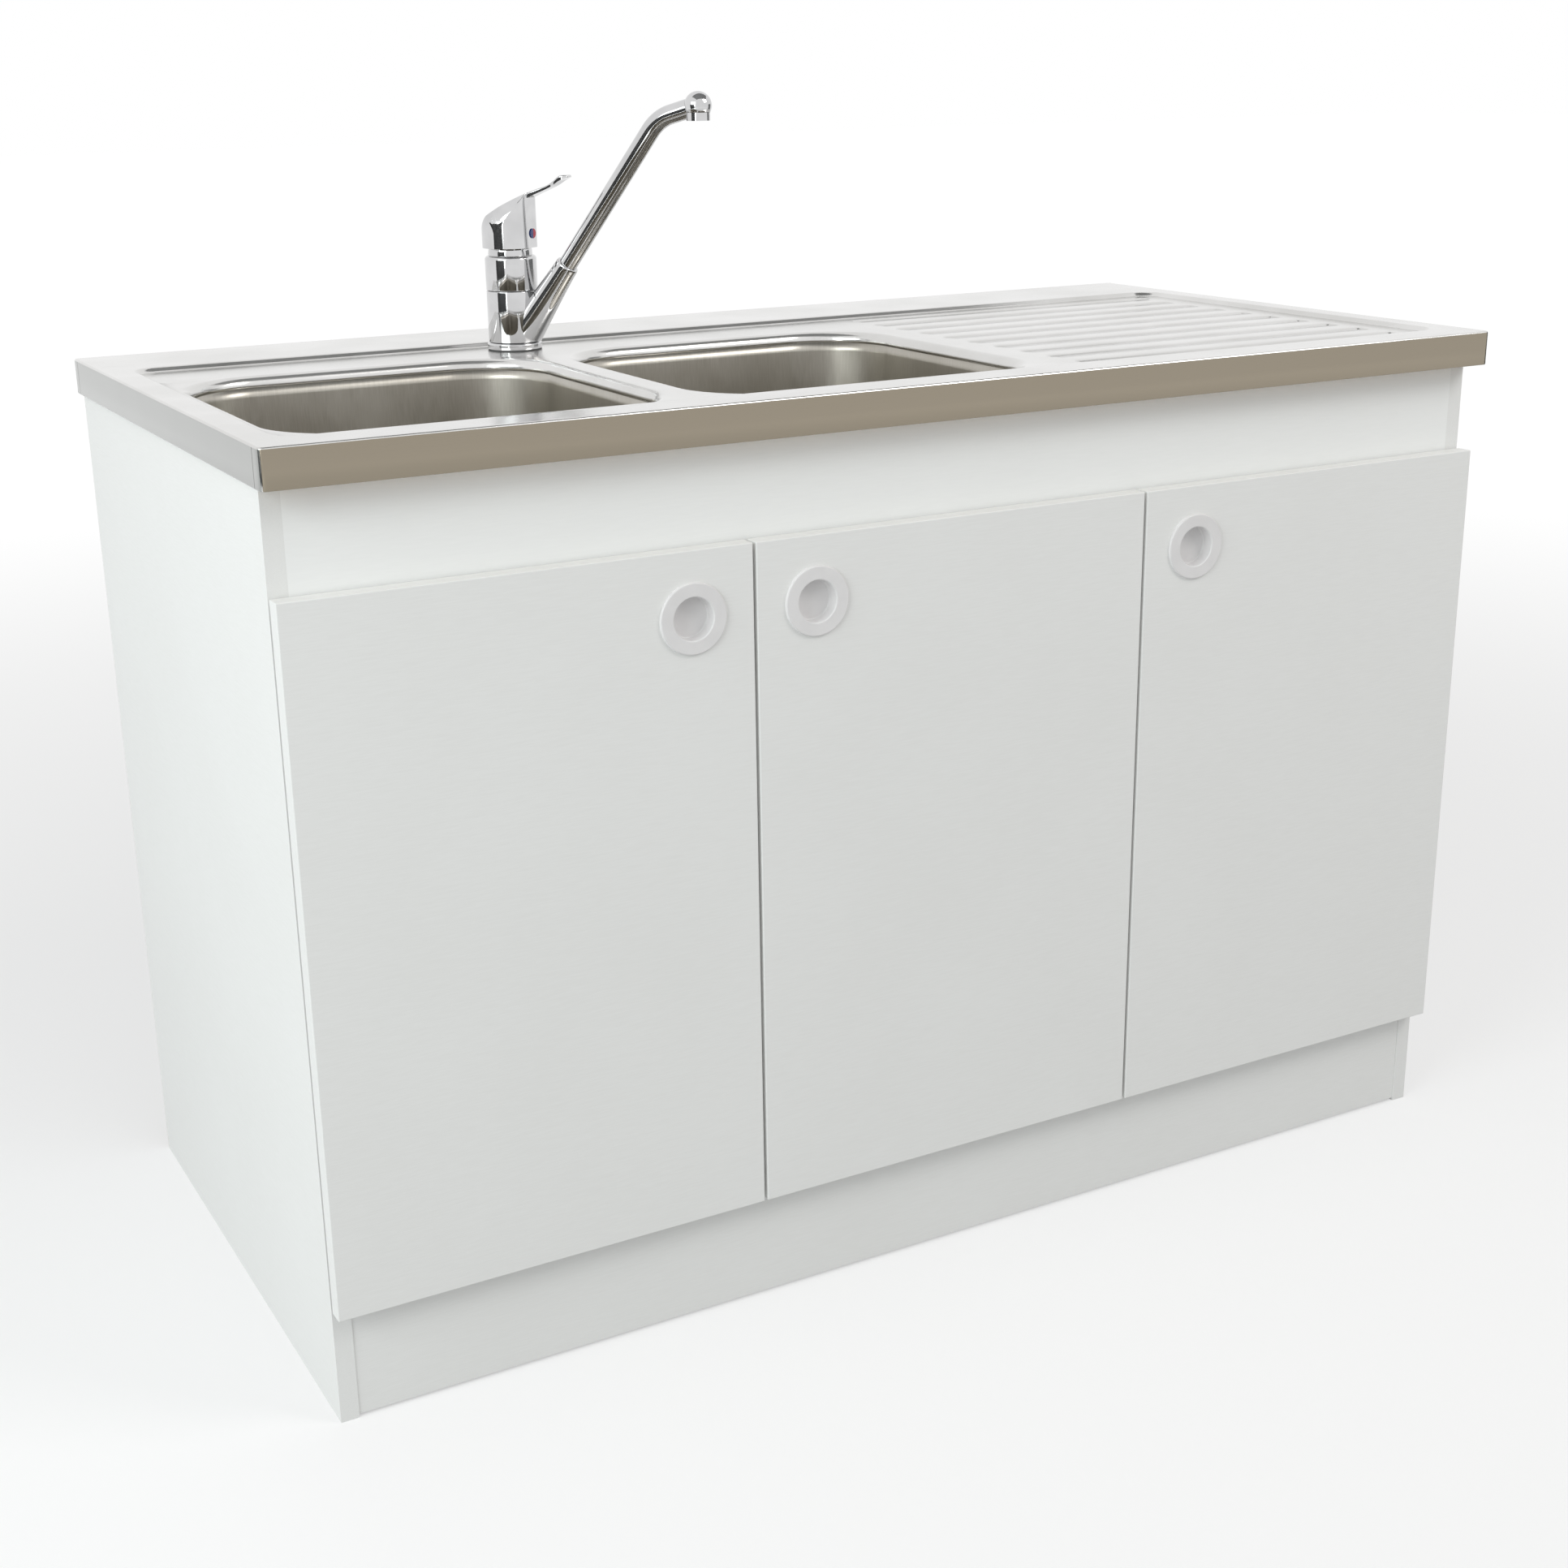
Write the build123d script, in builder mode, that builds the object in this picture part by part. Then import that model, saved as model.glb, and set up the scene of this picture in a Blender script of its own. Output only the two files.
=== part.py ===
"""Three-door kitchen sink unit: white board cabinet, lay-on steel sink with two bowls, lever mixer tap.

Millimetres. +Z is up, X runs from left to right and the doors face -Y. The origin is on the floor,
in the middle of the sink top's outline.
"""
from build123d import *
from math import cos, radians, sin, sqrt
import os

os.makedirs("parts", exist_ok=True)

# ---------------------------------------------------------------- driving dimensions
unit_width = 1200.0        # over the sink's rim
unit_depth = 600.0
unit_height = 820.0        # floor to the top of the rim

# sink sheet
sheet = 0.8
rim_height = 32.0          # folded edge all round
rim_lap = 2.0              # how far the rim hangs below the carcass top
rim_corner = 5.0
rim_round = 2.0
side_border = 26.0         # raised flat border, left and right
front_border = 40.0
recess_depth = 4.0
recess_corner = 24.0
press_slope = 45.0         # slope of the pressed steps, degrees from upright
mouth_round = 8.0
mouth_drop = 10.0          # from the deck down to the weld of the bowl
field_margin = 1.0         # from the mouths' rounds to where the sheet's six fields meet

# bowls
bowl_width = 325.0
bowl_length = 350.0        # front to back
bowl_depth = 150.0         # deck to bowl floor
bowl_corner = 72.0
bowl_draft = 3.0
bowl_floor_round = 32.0
bowl_side_margin = 11.5    # recessed deck left and in front of the left bowl's mouth
bowl_front_margin = 10.0
bowl_gap = 35.0            # between the two mouths
tap_ledge = 82.0           # recessed deck behind the mouths
seat_radius = 58.0
seat_depth = 3.0
waste_hole_radius = 43.0

# drainer
drainer_lead = 38.5        # from the right bowl's mouth to the grooves' left ends
drainer_tail = 25.0        # from the grooves' right ends to the pressed step
drainer_margin = 26.0      # first and last groove from the pressed steps
groove_count = 10
groove_width = 12.0
groove_depth = 2.5

# wood and brackets under the sink
batten_play = 2.2          # from the rim's inner faces and from the pressed step
drainer_board_lead = 25.0  # board's left edge from the grooves' left ends
drainer_board_margin = 6.0
bracket_width = 40.0
bracket_leg = 30.0
bracket_sheet = 2.0

# cabinet boards
board = 16.0
side_overhang = 5.0        # rim beyond the outer face of each side
front_overhang = 26.0
rear_overhang = 5.0
rail_height = 100.0        # fascia and rear rails
bottom_lap = 5.0           # how far the doors hang below the bottom panel
plinth_clearance = 3.0
plinth_setback = 1.0
divider_clearance = 64.3   # from the right bowl's mouth to the divider between the two cupboards
joint_play = 0.3           # between boards that aren't fixed to each other
shelf_height = 420.0
shelf_setback = 40.0       # from the carcass front
shelf_pin_radius = 2.5
shelf_pin_depth = 8.0
shelf_pin_reach = 9.0
shelf_pin_inset = 50.0     # from the shelf's front and back edges
shelf_row_pitch = 64.0
cam_radius = 7.5
cam_depth = 12.5
cam_inset = 34.0           # from the board's end
wall_hole_radius = 3.0
wall_hole_inset = 90.0     # from the inner face of each side

# doors
door_thickness = 16.0
door_gap = 3.0             # between the doors' backs and the carcass
door_seam = 3.0
door_bottom = 106.0
door_top = 705.0
door_round = 1.0
buffer_radius = 5.0
buffer_inset = 14.0        # from the door's free edge
buffer_play = 0.2

# round recessed pulls
pull_inset = 56.0          # from the free edge and from the top edge
pull_flange_radius = 30.0
pull_flange_rise = 2.5
pull_recess_radius = 18.0
pull_recess_depth = 12.0
pull_wall = 1.8
pull_round = 1.2
pull_play = 0.1

# single-pivot cup hinges
hinge_inset = 100.0        # from the door's top and bottom edges
hinge_pivot_in = 7.8       # pivot from the door's hinge edge
hinge_pivot_deep = 7.5     # pivot from the door's front face
cup_radius = 17.5
cup_edge = 3.5             # board left between the cup and the hinge edge
cup_depth = 12.0
cup_wall = 0.6
cup_flange = 1.0
cup_flange_margin = 1.5
cup_play = 0.05
ear_width = 14.0
ear_length = 62.0
pin_radius = 1.5
pin_play = 0.1             # where something turns on a pin
pin_fit = 0.02             # where a pin is pressed in
knuckle_radius = 2.6
knuckle_height = 10.0
knuckle_play = 0.4         # between the knuckle and the pin blocks
pin_block_height = 4.8
hinge_pin_length = 18.4
arm_sheet = 2.0
arm_bend = 2.5
arm_base_height = 14.0
arm_length = 62.0          # behind the carcass front
plate_rise = 3.4
plate_sheet = 1.6
plate_start = 22.0         # behind the carcass front
plate_length = 34.0
plate_height = 50.0
crank_start = 4.0          # behind the carcass front
crank_length = 12.0

# wastes and trap
pot_radius = 42.0
pot_depth = 45.0
pot_wall = 1.0
pot_flange_radius = 57.0
pot_flange = 1.5
pot_hole_radius = 6.5
pot_hole_circle = 24.0
pot_hole_count = 6
basket_radius = 38.0
basket_wall = 1.2
basket_height = 26.0
basket_foot_radius = 12.0
basket_lift = 6.0          # basket's floor above the pot's floor
basket_hole_radius = 2.5
basket_hole_circle = 24.0
basket_hole_count = 12
knob_radius = 7.0
knob_stem_radius = 3.5
knob_rim = 4.0
knob_height = 18.0
seal_thickness = 2.0
seal_radius = 55.0
body_wall = 3.0
body_play = 0.5
body_depth = 58.0
body_flange_radius = 54.0
body_flange = 4.0
spigot_length = 28.0
pipe_radius = 20.0
pipe_wall = 2.5
pipe_bend = 30.0
pipe_leg = 10.0            # straight pipe above the bend
pipe_end_gap = 2.0
tail_length = 60.0         # push-fit end of the outlet pipe, behind its stop ring
tail_radius = 20.5
tail_ring = 3.0
nut_radius = 27.0
nut_length = 18.0
nut_sides = 8
branch_length = 24.0       # side branches of the tee and the trap
trap_radius = 34.0
trap_body_height = 74.0
trap_cup_height = 52.0
trap_outlet_drop = 24.0
trap_cup_lap = 12.0

# tap: heights are above the sink's deck
tap_inset = 31.0           # tap's axis in front of the rear pressed step
tap_azimuth = -52.0        # direction of the lever and the spout, degrees from +X
tap_gasket_thickness = 1.2
tap_gasket_radius = 25.5
tap_flange_radius = 26.0
tap_flange_height = 6.0
tap_radius = 24.5
tap_core_radius = 17.9
tap_running_play = 0.08
tap_slide_gap = 0.3
tap_sleeve_top = 55.4
tap_shoulder = 88.0
tap_shoulder_round = 4.0
cartridge_radius = 17.4
cartridge_base = 62.0
cartridge_top = 80.0
crown_radius = 21.0
crown_wall = 2.2
crown_opening = 12.3
crown_skirt = 8.0
crown_skirt_radius = 19.85
lever_pivot = 89.0
lever_rim = 95.0
dome_play = 0.4
carrier_radius = 12.0
carrier_height = 13.5
carrier_slot_floor = 6.0   # below the pivot
stem_size = 8.0
stem_top = 118.0
lever_radius = 26.0
lever_blade = 15.0
# (distance along the lever, height) over the lever's top from the back of its rim, then under its blade
lever_over = ((-26.0, 95.0), (-25.5, 106.0), (-21.0, 115.0), (-13.0, 124.0), (0.0, 133.0), (16.0, 142.0),
              (26.0, 146.5), (49.0, 154.0), (59.0, 161.0))
lever_under = ((59.0, 161.0), (68.0, 159.5), (58.0, 156.0), (49.0, 150.0), (31.0, 143.0), (25.6, 140.5),
               (24.8, 95.0), (-26.0, 95.0))
# (half width, height) up the lever, seen along its reach
lever_widths = ((26.0, 95.0), (26.0, 114.0), (24.5, 124.0), (20.0, 133.0), (13.0, 141.0), (7.5, 148.0),
                (7.5, 165.0))
index_height = 108.0
index_width = 10.0
index_tall = 9.0
index_rise = 0.8
neck_start = (14.0, 18.0)
neck_end = (61.5, 80.5)
neck_start_radius = 16.0
neck_end_radius = 11.0
neck_clearance = 0.5       # from the body above the sleeve
spout_radius = 8.7
spout_bend = (160.0, 211.0)
spout_bend_radius = 40.0
spout_end = (200.0, 222.0)
nose_radius = 12.5
aerator_radius = 10.8
aerator_length = 7.0
aerator_drop = 6.0         # from the nose's centre to the aerator's top
aerator_wall = 1.6
aerator_mesh = 1.5         # mesh above the aerator's lower edge
tap_hole_radius = 17.5
tap_spigot_radius = 16.8
tap_spigot_length = 3.0
stud_radius = 4.0
stud_length = 62.0
stud_offset = 10.5
inlet_radius = 4.46
inlet_depth = 12.0
inlet_offset = 8.0
inlet_back = 5.0
stiffener_width = 92.0
stiffener_length = 70.0
stiffener_thickness = 4.0
horseshoe_radius = 27.0
horseshoe_thickness = 3.0
horseshoe_slot = 29.0
horseshoe_slot_start = 4.0  # in front of the tap's axis
tap_nut_across = 13.0
tap_nut_height = 8.0

# ---------------------------------------------------------------- derived places
deck_z = unit_height - recess_depth
rim_bottom = unit_height - rim_height
carcass_top = rim_bottom + rim_lap
outer_x = unit_width / 2 - side_overhang
inner_x = outer_x - board
front_y = front_overhang - unit_depth / 2
rear_y = unit_depth / 2 - rear_overhang
bottom_z = door_bottom + bottom_lap
floor_z = bottom_z + board
door_back_y = front_y - door_gap
door_front_y = door_back_y - door_thickness
bowl_floor_z = deck_z - bowl_depth
seat_z = bowl_floor_z - seat_depth
weld_z = deck_z - mouth_drop
sheet_under_deck = deck_z - sheet
groove_under_z = sheet_under_deck - groove_depth
hinge_heights = (door_bottom + hinge_inset, door_top - hinge_inset)
deck_half = unit_width / 2 - side_border - recess_depth
deck_front = front_border + recess_depth - unit_depth / 2
bowl_left_x = bowl_side_margin + bowl_width / 2 - deck_half
bowl_right_x = bowl_left_x + bowl_width + bowl_gap
bowl_y = deck_front + bowl_front_margin + bowl_length / 2
bowl_centres = ((bowl_left_x, bowl_y), (bowl_right_x, bowl_y))
deck_rear = bowl_y + bowl_length / 2 + tap_ledge
drainer_start = bowl_right_x + bowl_width / 2 + drainer_lead
tap_x = (bowl_left_x + bowl_right_x) / 2
tap_y = deck_rear - tap_inset
divider_x = bowl_right_x + bowl_width / 2 + divider_clearance + board / 2
wide_door = (divider_x + outer_x - 3 * door_seam / 2) / 2
narrow_door = outer_x - divider_x - door_seam / 2


def keep(piece, name):
    """Label a finished piece and write its file."""
    piece.part.label = name
    export_step(piece.part, f"parts/{name}.step")


def block(low, high, mode=Mode.ADD):
    """Box between two corners, for the part being built."""
    with Locations(tuple((a + b) / 2 for a, b in zip(low, high))):
        Box(*(abs(b - a) for a, b in zip(low, high)), mode=mode)


def turned(points, origin=(0, 0, 0), axis=(0, 0, 1), rounds=()):
    """Solid turned about an axis from (radius, distance along it) points.

    rounds lists (point number, radius) for the corners that are rounded.
    """
    across = Vector(1, 0, 0)
    with BuildPart() as piece:
        with BuildSketch(Plane(origin=origin, x_dir=across, z_dir=across.cross(Vector(*axis)))) as section:
            with BuildLine():
                Polyline(*points, close=True)
            make_face()
            for number, radius in rounds:
                fillet(section.vertices().sort_by_distance(points[number])[0], radius=radius)
        revolve(axis=Axis(origin, axis))
    return piece.part


# ---------------------------------------------------------------- cabinet boards
cam_ends = (cam_inset - inner_x, inner_x - cam_inset)
top_rail_z = carcass_top - rail_height / 2
low_rail_z = floor_z + rail_height / 2
rail_front_y = rear_y - board
fascia_back_y = front_y + board
compartment_left = divider_x + board / 2
shelf_front = front_y + shelf_setback
shelf_back = rail_front_y - joint_play
shelf_pin_ys = (shelf_front + shelf_pin_inset, shelf_back - shelf_pin_inset)
shelf_pin_z = shelf_height - shelf_pin_radius
shelf_rows = [shelf_pin_z + step * shelf_row_pitch for step in (-1, 0, 1)]


def cams(face_y, z, inwards, mode=Mode.ADD):
    """Cam fittings let into a board's face at both of its ends, or their pockets."""
    with Locations(*[(x, face_y + inwards * cam_depth / 2, z) for x in cam_ends]):
        Cylinder(cam_radius, cam_depth, rotation=(90, 0, 0), mode=mode)


def shelf_holes(face_x, inwards):
    """Rows of blind shelf-pin holes in a board whose face is at face_x."""
    with Locations(*[(face_x - inwards * shelf_pin_depth / 2, y, z)
                     for y in shelf_pin_ys for z in shelf_rows]):
        Cylinder(shelf_pin_radius + pin_fit, shelf_pin_depth, rotation=(0, 90, 0), mode=Mode.SUBTRACT)


with BuildPart() as left_side:
    block((-outer_x, front_y, 0), (-inner_x, rear_y, carcass_top))
keep(left_side, "left_side")

with BuildPart() as right_side:
    block((inner_x, front_y, 0), (outer_x, rear_y, carcass_top))
    shelf_holes(inner_x, -1)
keep(right_side, "right_side")

with BuildPart() as bottom_panel:
    block((-inner_x, front_y, bottom_z), (inner_x, rear_y, floor_z))
keep(bottom_panel, "bottom_panel")

with BuildPart() as divider:
    block((divider_x - board / 2, front_y, floor_z), (compartment_left, rail_front_y, carcass_top))
    block((divider_x - board, front_y - board, carcass_top - rail_height),
          (divider_x + board, fascia_back_y, carcass_top + board), mode=Mode.SUBTRACT)
    shelf_holes(compartment_left, 1)
keep(divider, "divider")

with BuildPart() as plinth:
    block((-inner_x, front_y + plinth_setback, plinth_clearance),
          (inner_x, front_y + plinth_setback + board, bottom_z))
keep(plinth, "plinth")

with BuildPart() as fascia:
    block((-inner_x, front_y, carcass_top - rail_height), (inner_x, fascia_back_y, carcass_top))
    cams(fascia_back_y, top_rail_z, -1, mode=Mode.SUBTRACT)
keep(fascia, "fascia")

with BuildPart() as rear_top_rail:
    block((-inner_x, rail_front_y, carcass_top - rail_height), (inner_x, rear_y, carcass_top))
    cams(rail_front_y, top_rail_z, 1, mode=Mode.SUBTRACT)
    with Locations(*[(side * (inner_x - wall_hole_inset), rear_y - board / 2, top_rail_z)
                     for side in (-1, 1)]):
        Cylinder(wall_hole_radius, board, rotation=(90, 0, 0), mode=Mode.SUBTRACT)
keep(rear_top_rail, "rear_top_rail")

with BuildPart() as rear_bottom_rail:
    block((-inner_x, rail_front_y, floor_z), (inner_x, rear_y, floor_z + rail_height))
    cams(rail_front_y, low_rail_z, 1, mode=Mode.SUBTRACT)
keep(rear_bottom_rail, "rear_bottom_rail")

with BuildPart() as cam_fittings:
    cams(fascia_back_y, top_rail_z, -1)
    cams(rail_front_y, top_rail_z, 1)
    cams(rail_front_y, low_rail_z, 1)
keep(cam_fittings, "cam_fittings")

with BuildPart() as shelf:
    block((compartment_left + joint_play, shelf_front, shelf_height),
          (inner_x - joint_play, shelf_back, shelf_height + board))
keep(shelf, "shelf")

with BuildPart() as shelf_pins:
    for face_x, inwards in ((compartment_left, 1), (inner_x, -1)):
        middle_x = face_x + inwards * (shelf_pin_reach - shelf_pin_depth) / 2
        with Locations(*[(middle_x, y, shelf_pin_z) for y in shelf_pin_ys]):
            Cylinder(shelf_pin_radius, shelf_pin_depth + shelf_pin_reach, rotation=(0, 90, 0))
keep(shelf_pins, "shelf_pins")

# ---------------------------------------------------------------- sink top
recess_width = 2 * (deck_half + recess_depth)
recess_length = deck_rear - deck_front + 2 * recess_depth
recess_y = (deck_rear + deck_front) / 2
drainer_length = deck_half - drainer_tail - drainer_start
groove_pitch = (deck_rear - deck_front - 2 * drainer_margin) / (groove_count - 1)
groove_x = drainer_start + drainer_length / 2
slope_growth = (1 - sin(radians(press_slope))) / cos(radians(press_slope))


def pressed_block(skin, base_z):
    """Solid under the sheet's upper face, with every face moved into it by the skin."""
    top_z = unit_height - skin
    floor = deck_z - skin
    growth = 2 * skin * slope_growth
    with BuildPart() as solid:
        with BuildSketch(Plane.XY.offset(base_z)):
            RectangleRounded(unit_width - 2 * skin, unit_depth - 2 * skin, rim_corner - skin)
        extrude(amount=top_z - base_z)
        fillet(solid.faces().sort_by(Axis.Z)[-1].edges(), radius=rim_round - skin)
        with BuildSketch(Plane.XY.offset(top_z)):
            with Locations((0, recess_y)):
                RectangleRounded(recess_width + growth, recess_length + growth, recess_corner)
        extrude(amount=-recess_depth, taper=press_slope, mode=Mode.SUBTRACT)
        with BuildSketch(Plane.XY.offset(floor)):
            with Locations(*bowl_centres):
                RectangleRounded(bowl_width + 2 * skin, bowl_length + 2 * skin, bowl_corner + skin)
        extrude(amount=base_z - floor, mode=Mode.SUBTRACT)
        rims = solid.edges(Select.LAST).filter_by_position(Axis.Z, floor - skin - 0.01, floor + 0.01)
        fillet(rims, radius=mouth_round - skin)
        with BuildSketch(Plane.XY.offset(floor)):
            with Locations((groove_x, recess_y)):
                with GridLocations(0, groove_pitch, 1, groove_count):
                    SlotOverall(drainer_length + growth, groove_width + growth)
        extrude(amount=-groove_depth, taper=press_slope, mode=Mode.SUBTRACT)
    return solid.part


sink_upper = pressed_block(0, rim_bottom)
sink_under = pressed_block(sheet, rim_bottom - rim_round)
with BuildPart() as sink_sheet:
    add(sink_upper)
    add(sink_under, mode=Mode.SUBTRACT)
    block((-recess_width / 2, recess_y - recess_length / 2, rim_bottom - rim_round),
          (recess_width / 2, recess_y + recess_length / 2, weld_z), mode=Mode.SUBTRACT)
    with Locations((tap_x, tap_y, deck_z)):
        Cylinder(tap_hole_radius, 2 * recess_depth, mode=Mode.SUBTRACT)

# The one sheet is kept as six fields that meet face to face, so that its collision stays open at the mouths:
# front border, left end, a field round each mouth, drainer and rear ledge.
mouth_reach = mouth_round + field_margin
ends_x = (-unit_width / 2, bowl_left_x - bowl_width / 2 - mouth_reach, tap_x,
          bowl_right_x + bowl_width / 2 + mouth_reach, unit_width / 2)
ends_y = (-unit_depth / 2, bowl_y - bowl_length / 2 - mouth_reach, bowl_y + bowl_length / 2 + mouth_reach,
          unit_depth / 2)
field_spans = [(ends_x[0], ends_x[4], ends_y[0], ends_y[1]), (ends_x[0], ends_x[4], ends_y[2], ends_y[3])]
field_spans += [(left, right, ends_y[1], ends_y[2]) for left, right in zip(ends_x, ends_x[1:])]
sheet_fields = []
for left, right, front, rear in field_spans:
    with BuildPart() as field:
        add(sink_sheet)
        block((left, front, rim_bottom), (right, rear, unit_height), mode=Mode.INTERSECT)
    sheet_fields.append(field.part)
with BuildPart() as sink_top:
    add(sheet_fields, mode=Mode.REPLACE)
keep(sink_top, "sink_top")


# ---------------------------------------------------------------- bowls
def bowl_block(x, skin):
    """Space inside a bowl, or the solid round it when every face is moved out by the skin."""
    floor = bowl_floor_z - skin
    with BuildPart() as solid:
        with BuildSketch(Plane.XY.offset(weld_z)):
            with Locations((x, bowl_y)):
                RectangleRounded(bowl_width + 2 * skin, bowl_length + 2 * skin, bowl_corner + skin)
        extrude(amount=floor - weld_z, taper=bowl_draft)
        fillet(solid.faces().sort_by(Axis.Z)[0].edges(), radius=bowl_floor_round + skin)
        with BuildSketch(Plane.XY.offset(floor)):
            with Locations((x, bowl_y)):
                Circle(seat_radius + skin)
        extrude(amount=-seat_depth)
    return solid.part


for name, x in (("bowl_left", bowl_left_x), ("bowl_right", bowl_right_x)):
    outside = bowl_block(x, sheet)
    inside = bowl_block(x, 0)
    with BuildPart() as bowl:
        add(outside)
        add(inside, mode=Mode.SUBTRACT)
        with Locations((x, bowl_y, seat_z)):
            Cylinder(waste_hole_radius, 2 * seat_depth, mode=Mode.SUBTRACT)
    keep(bowl, name)

# ---------------------------------------------------------------- wood and brackets under the sink
batten_top = unit_height - sheet
batten_outer_x = unit_width / 2 - sheet - batten_play
batten_outer_y = unit_depth / 2 - sheet - batten_play
front_batten_y = front_border - unit_depth / 2 - batten_play
rear_batten_y = deck_rear + recess_depth + batten_play
side_batten_x = unit_width / 2 - side_border + batten_play

with BuildPart() as sink_frame:
    block((-batten_outer_x, -batten_outer_y, carcass_top), (batten_outer_x, front_batten_y, batten_top))
    block((-batten_outer_x, rear_batten_y, carcass_top), (batten_outer_x, batten_outer_y, batten_top))
    for side in (-1, 1):
        block((side * side_batten_x, front_batten_y, carcass_top),
              (side * batten_outer_x, rear_batten_y, batten_top))
keep(sink_frame, "sink_frame")

with BuildPart() as drainer_board:
    block((drainer_start - drainer_board_lead, deck_front + drainer_board_margin, carcass_top),
          (deck_half, deck_rear - drainer_board_margin, groove_under_z))
keep(drainer_board, "drainer_board")

with BuildPart() as sink_brackets:
    for x in (-unit_width / 3, 0, unit_width / 3):
        with BuildSketch(Plane(origin=(x - bracket_width / 2, rail_front_y, carcass_top), x_dir=(0, 1, 0),
                               z_dir=(1, 0, 0))) as section:
            with BuildLine():
                Polyline((0, 0), (-bracket_leg, 0), (-bracket_leg, -bracket_sheet),
                         (-bracket_sheet, -bracket_sheet), (-bracket_sheet, -bracket_leg),
                         (0, -bracket_leg), close=True)
            make_face()
            bend = (-bracket_sheet, -bracket_sheet)
            fillet(section.vertices().sort_by_distance(bend)[0], radius=bracket_sheet)
        extrude(amount=bracket_width)
keep(sink_brackets, "sink_brackets")

# ---------------------------------------------------------------- doors, pulls and hinges
# name: x of the hinge edge, direction from it into the door, x of the face with the hinge arms, door width
doors = {
    "left": (-outer_x, 1, -inner_x, wide_door),
    "middle": (divider_x - door_seam / 2, -1, divider_x - board / 2, wide_door),
    "right": (outer_x, -1, inner_x, narrow_door),
}
pull_z = door_top - pull_inset
pull_floor = pull_flange_rise - pull_recess_depth
pull_outer = pull_recess_radius + pull_wall
pull_bore_depth = pull_wall + pull_play - pull_floor
cup_inside = cup_radius - cup_wall
carcass_w = door_thickness + door_gap
leg_u = board + plate_rise + arm_sheet / 2
block_start = knuckle_height / 2 + knuckle_play
block_end = block_start + pin_block_height
buffer_length = door_gap - buffer_play
buffer_heights = ((bottom_z + floor_z) / 2, (carcass_top - rail_height + door_top) / 2)


def bores(places, radius, depth, mouth_y):
    """Round blind bores along Y from mouth_y; a negative depth runs towards the front."""
    with Locations(*[(x, mouth_y + depth / 2, z) for x, z in places]):
        Cylinder(radius, abs(depth), rotation=(90, 0, 0), mode=Mode.SUBTRACT)


def pin_bore(x, radius):
    """Upright pin hole through the hinge part being built."""
    with Locations((x, door_front_y + hinge_pivot_deep, 0)):
        Cylinder(radius, hinge_pin_length, mode=Mode.SUBTRACT)


def hinge_cup(edge_x, into):
    """Cup of one hinge at height 0, let into the door's back, with the two blocks that hold its pin."""
    pivot_x = edge_x + into * hinge_pivot_in
    cup_x = edge_x + into * (cup_edge + cup_radius)
    pivot_y = door_front_y + hinge_pivot_deep
    shell = turned([(0, cup_depth), (cup_radius, cup_depth), (cup_radius, 0),
                    (cup_radius + cup_flange_margin, 0), (cup_radius + cup_flange_margin, -cup_flange),
                    (cup_inside, -cup_flange), (cup_inside, cup_depth - cup_wall),
                    (0, cup_depth - cup_wall)], (cup_x, door_back_y, 0), (0, -1, 0))
    with BuildPart() as cup:
        for side in (-1, 1):
            block((pivot_x - knuckle_radius, door_back_y - cup_depth, side * block_start),
                  (pivot_x + knuckle_radius, pivot_y + knuckle_radius, side * block_end))
        with Locations((cup_x, door_back_y - cup_depth / 2, 0)):
            Cylinder(cup_radius, cup_depth, rotation=(90, 0, 0), mode=Mode.INTERSECT)
        block((cup_x - ear_width / 2, door_back_y, -ear_length / 2),
              (cup_x + ear_width / 2, door_back_y + cup_flange, ear_length / 2))
        with Locations((cup_x, door_back_y + cup_flange / 2, 0)):
            Cylinder(cup_inside, cup_flange, rotation=(90, 0, 0), mode=Mode.SUBTRACT)
        add(shell)
        pin_bore(pivot_x, pin_radius + pin_fit)
    return cup.part


def hinge_arm(edge_x, into, face_x):
    """Arm of one hinge at height 0: knuckle in the cup, strip out of its mouth, base on the plate."""
    pivot_x = edge_x + into * hinge_pivot_in
    base_u = abs(face_x - edge_x) + plate_rise + arm_sheet / 2
    route = [(hinge_pivot_in, hinge_pivot_deep), (leg_u, hinge_pivot_deep)]
    if base_u < leg_u - arm_sheet:
        route.append((leg_u, carcass_w + crank_start))
        route.append((base_u, carcass_w + crank_start + crank_length))
    route.append((base_u, carcass_w + arm_length))
    with BuildPart() as arm:
        with BuildSketch(Plane.XY.offset(-knuckle_height / 2)):
            with BuildLine() as bent:
                FilletPolyline(*[(edge_x + into * u, door_front_y + w) for u, w in route], radius=arm_bend)
            trace(bent.edges(), arm_sheet)
            with Locations((pivot_x, door_front_y + hinge_pivot_deep)):
                Circle(knuckle_radius)
        extrude(amount=knuckle_height)
        block((edge_x + into * (base_u - arm_sheet / 2), front_y + plate_start, -arm_base_height / 2),
              (edge_x + into * (base_u + arm_sheet / 2), front_y + arm_length, arm_base_height / 2))
        pin_bore(pivot_x, pin_radius + pin_play)
    return arm.part


def hinge_plate(into, face_x):
    """Mounting plate of one hinge at height 0, with the rib that carries the arm."""
    with BuildPart() as plate:
        for rise, height in ((plate_sheet, plate_height), (plate_rise, arm_base_height)):
            block((face_x, front_y + plate_start, -height / 2),
                  (face_x + into * rise, front_y + plate_start + plate_length, height / 2))
    return plate.part


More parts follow.
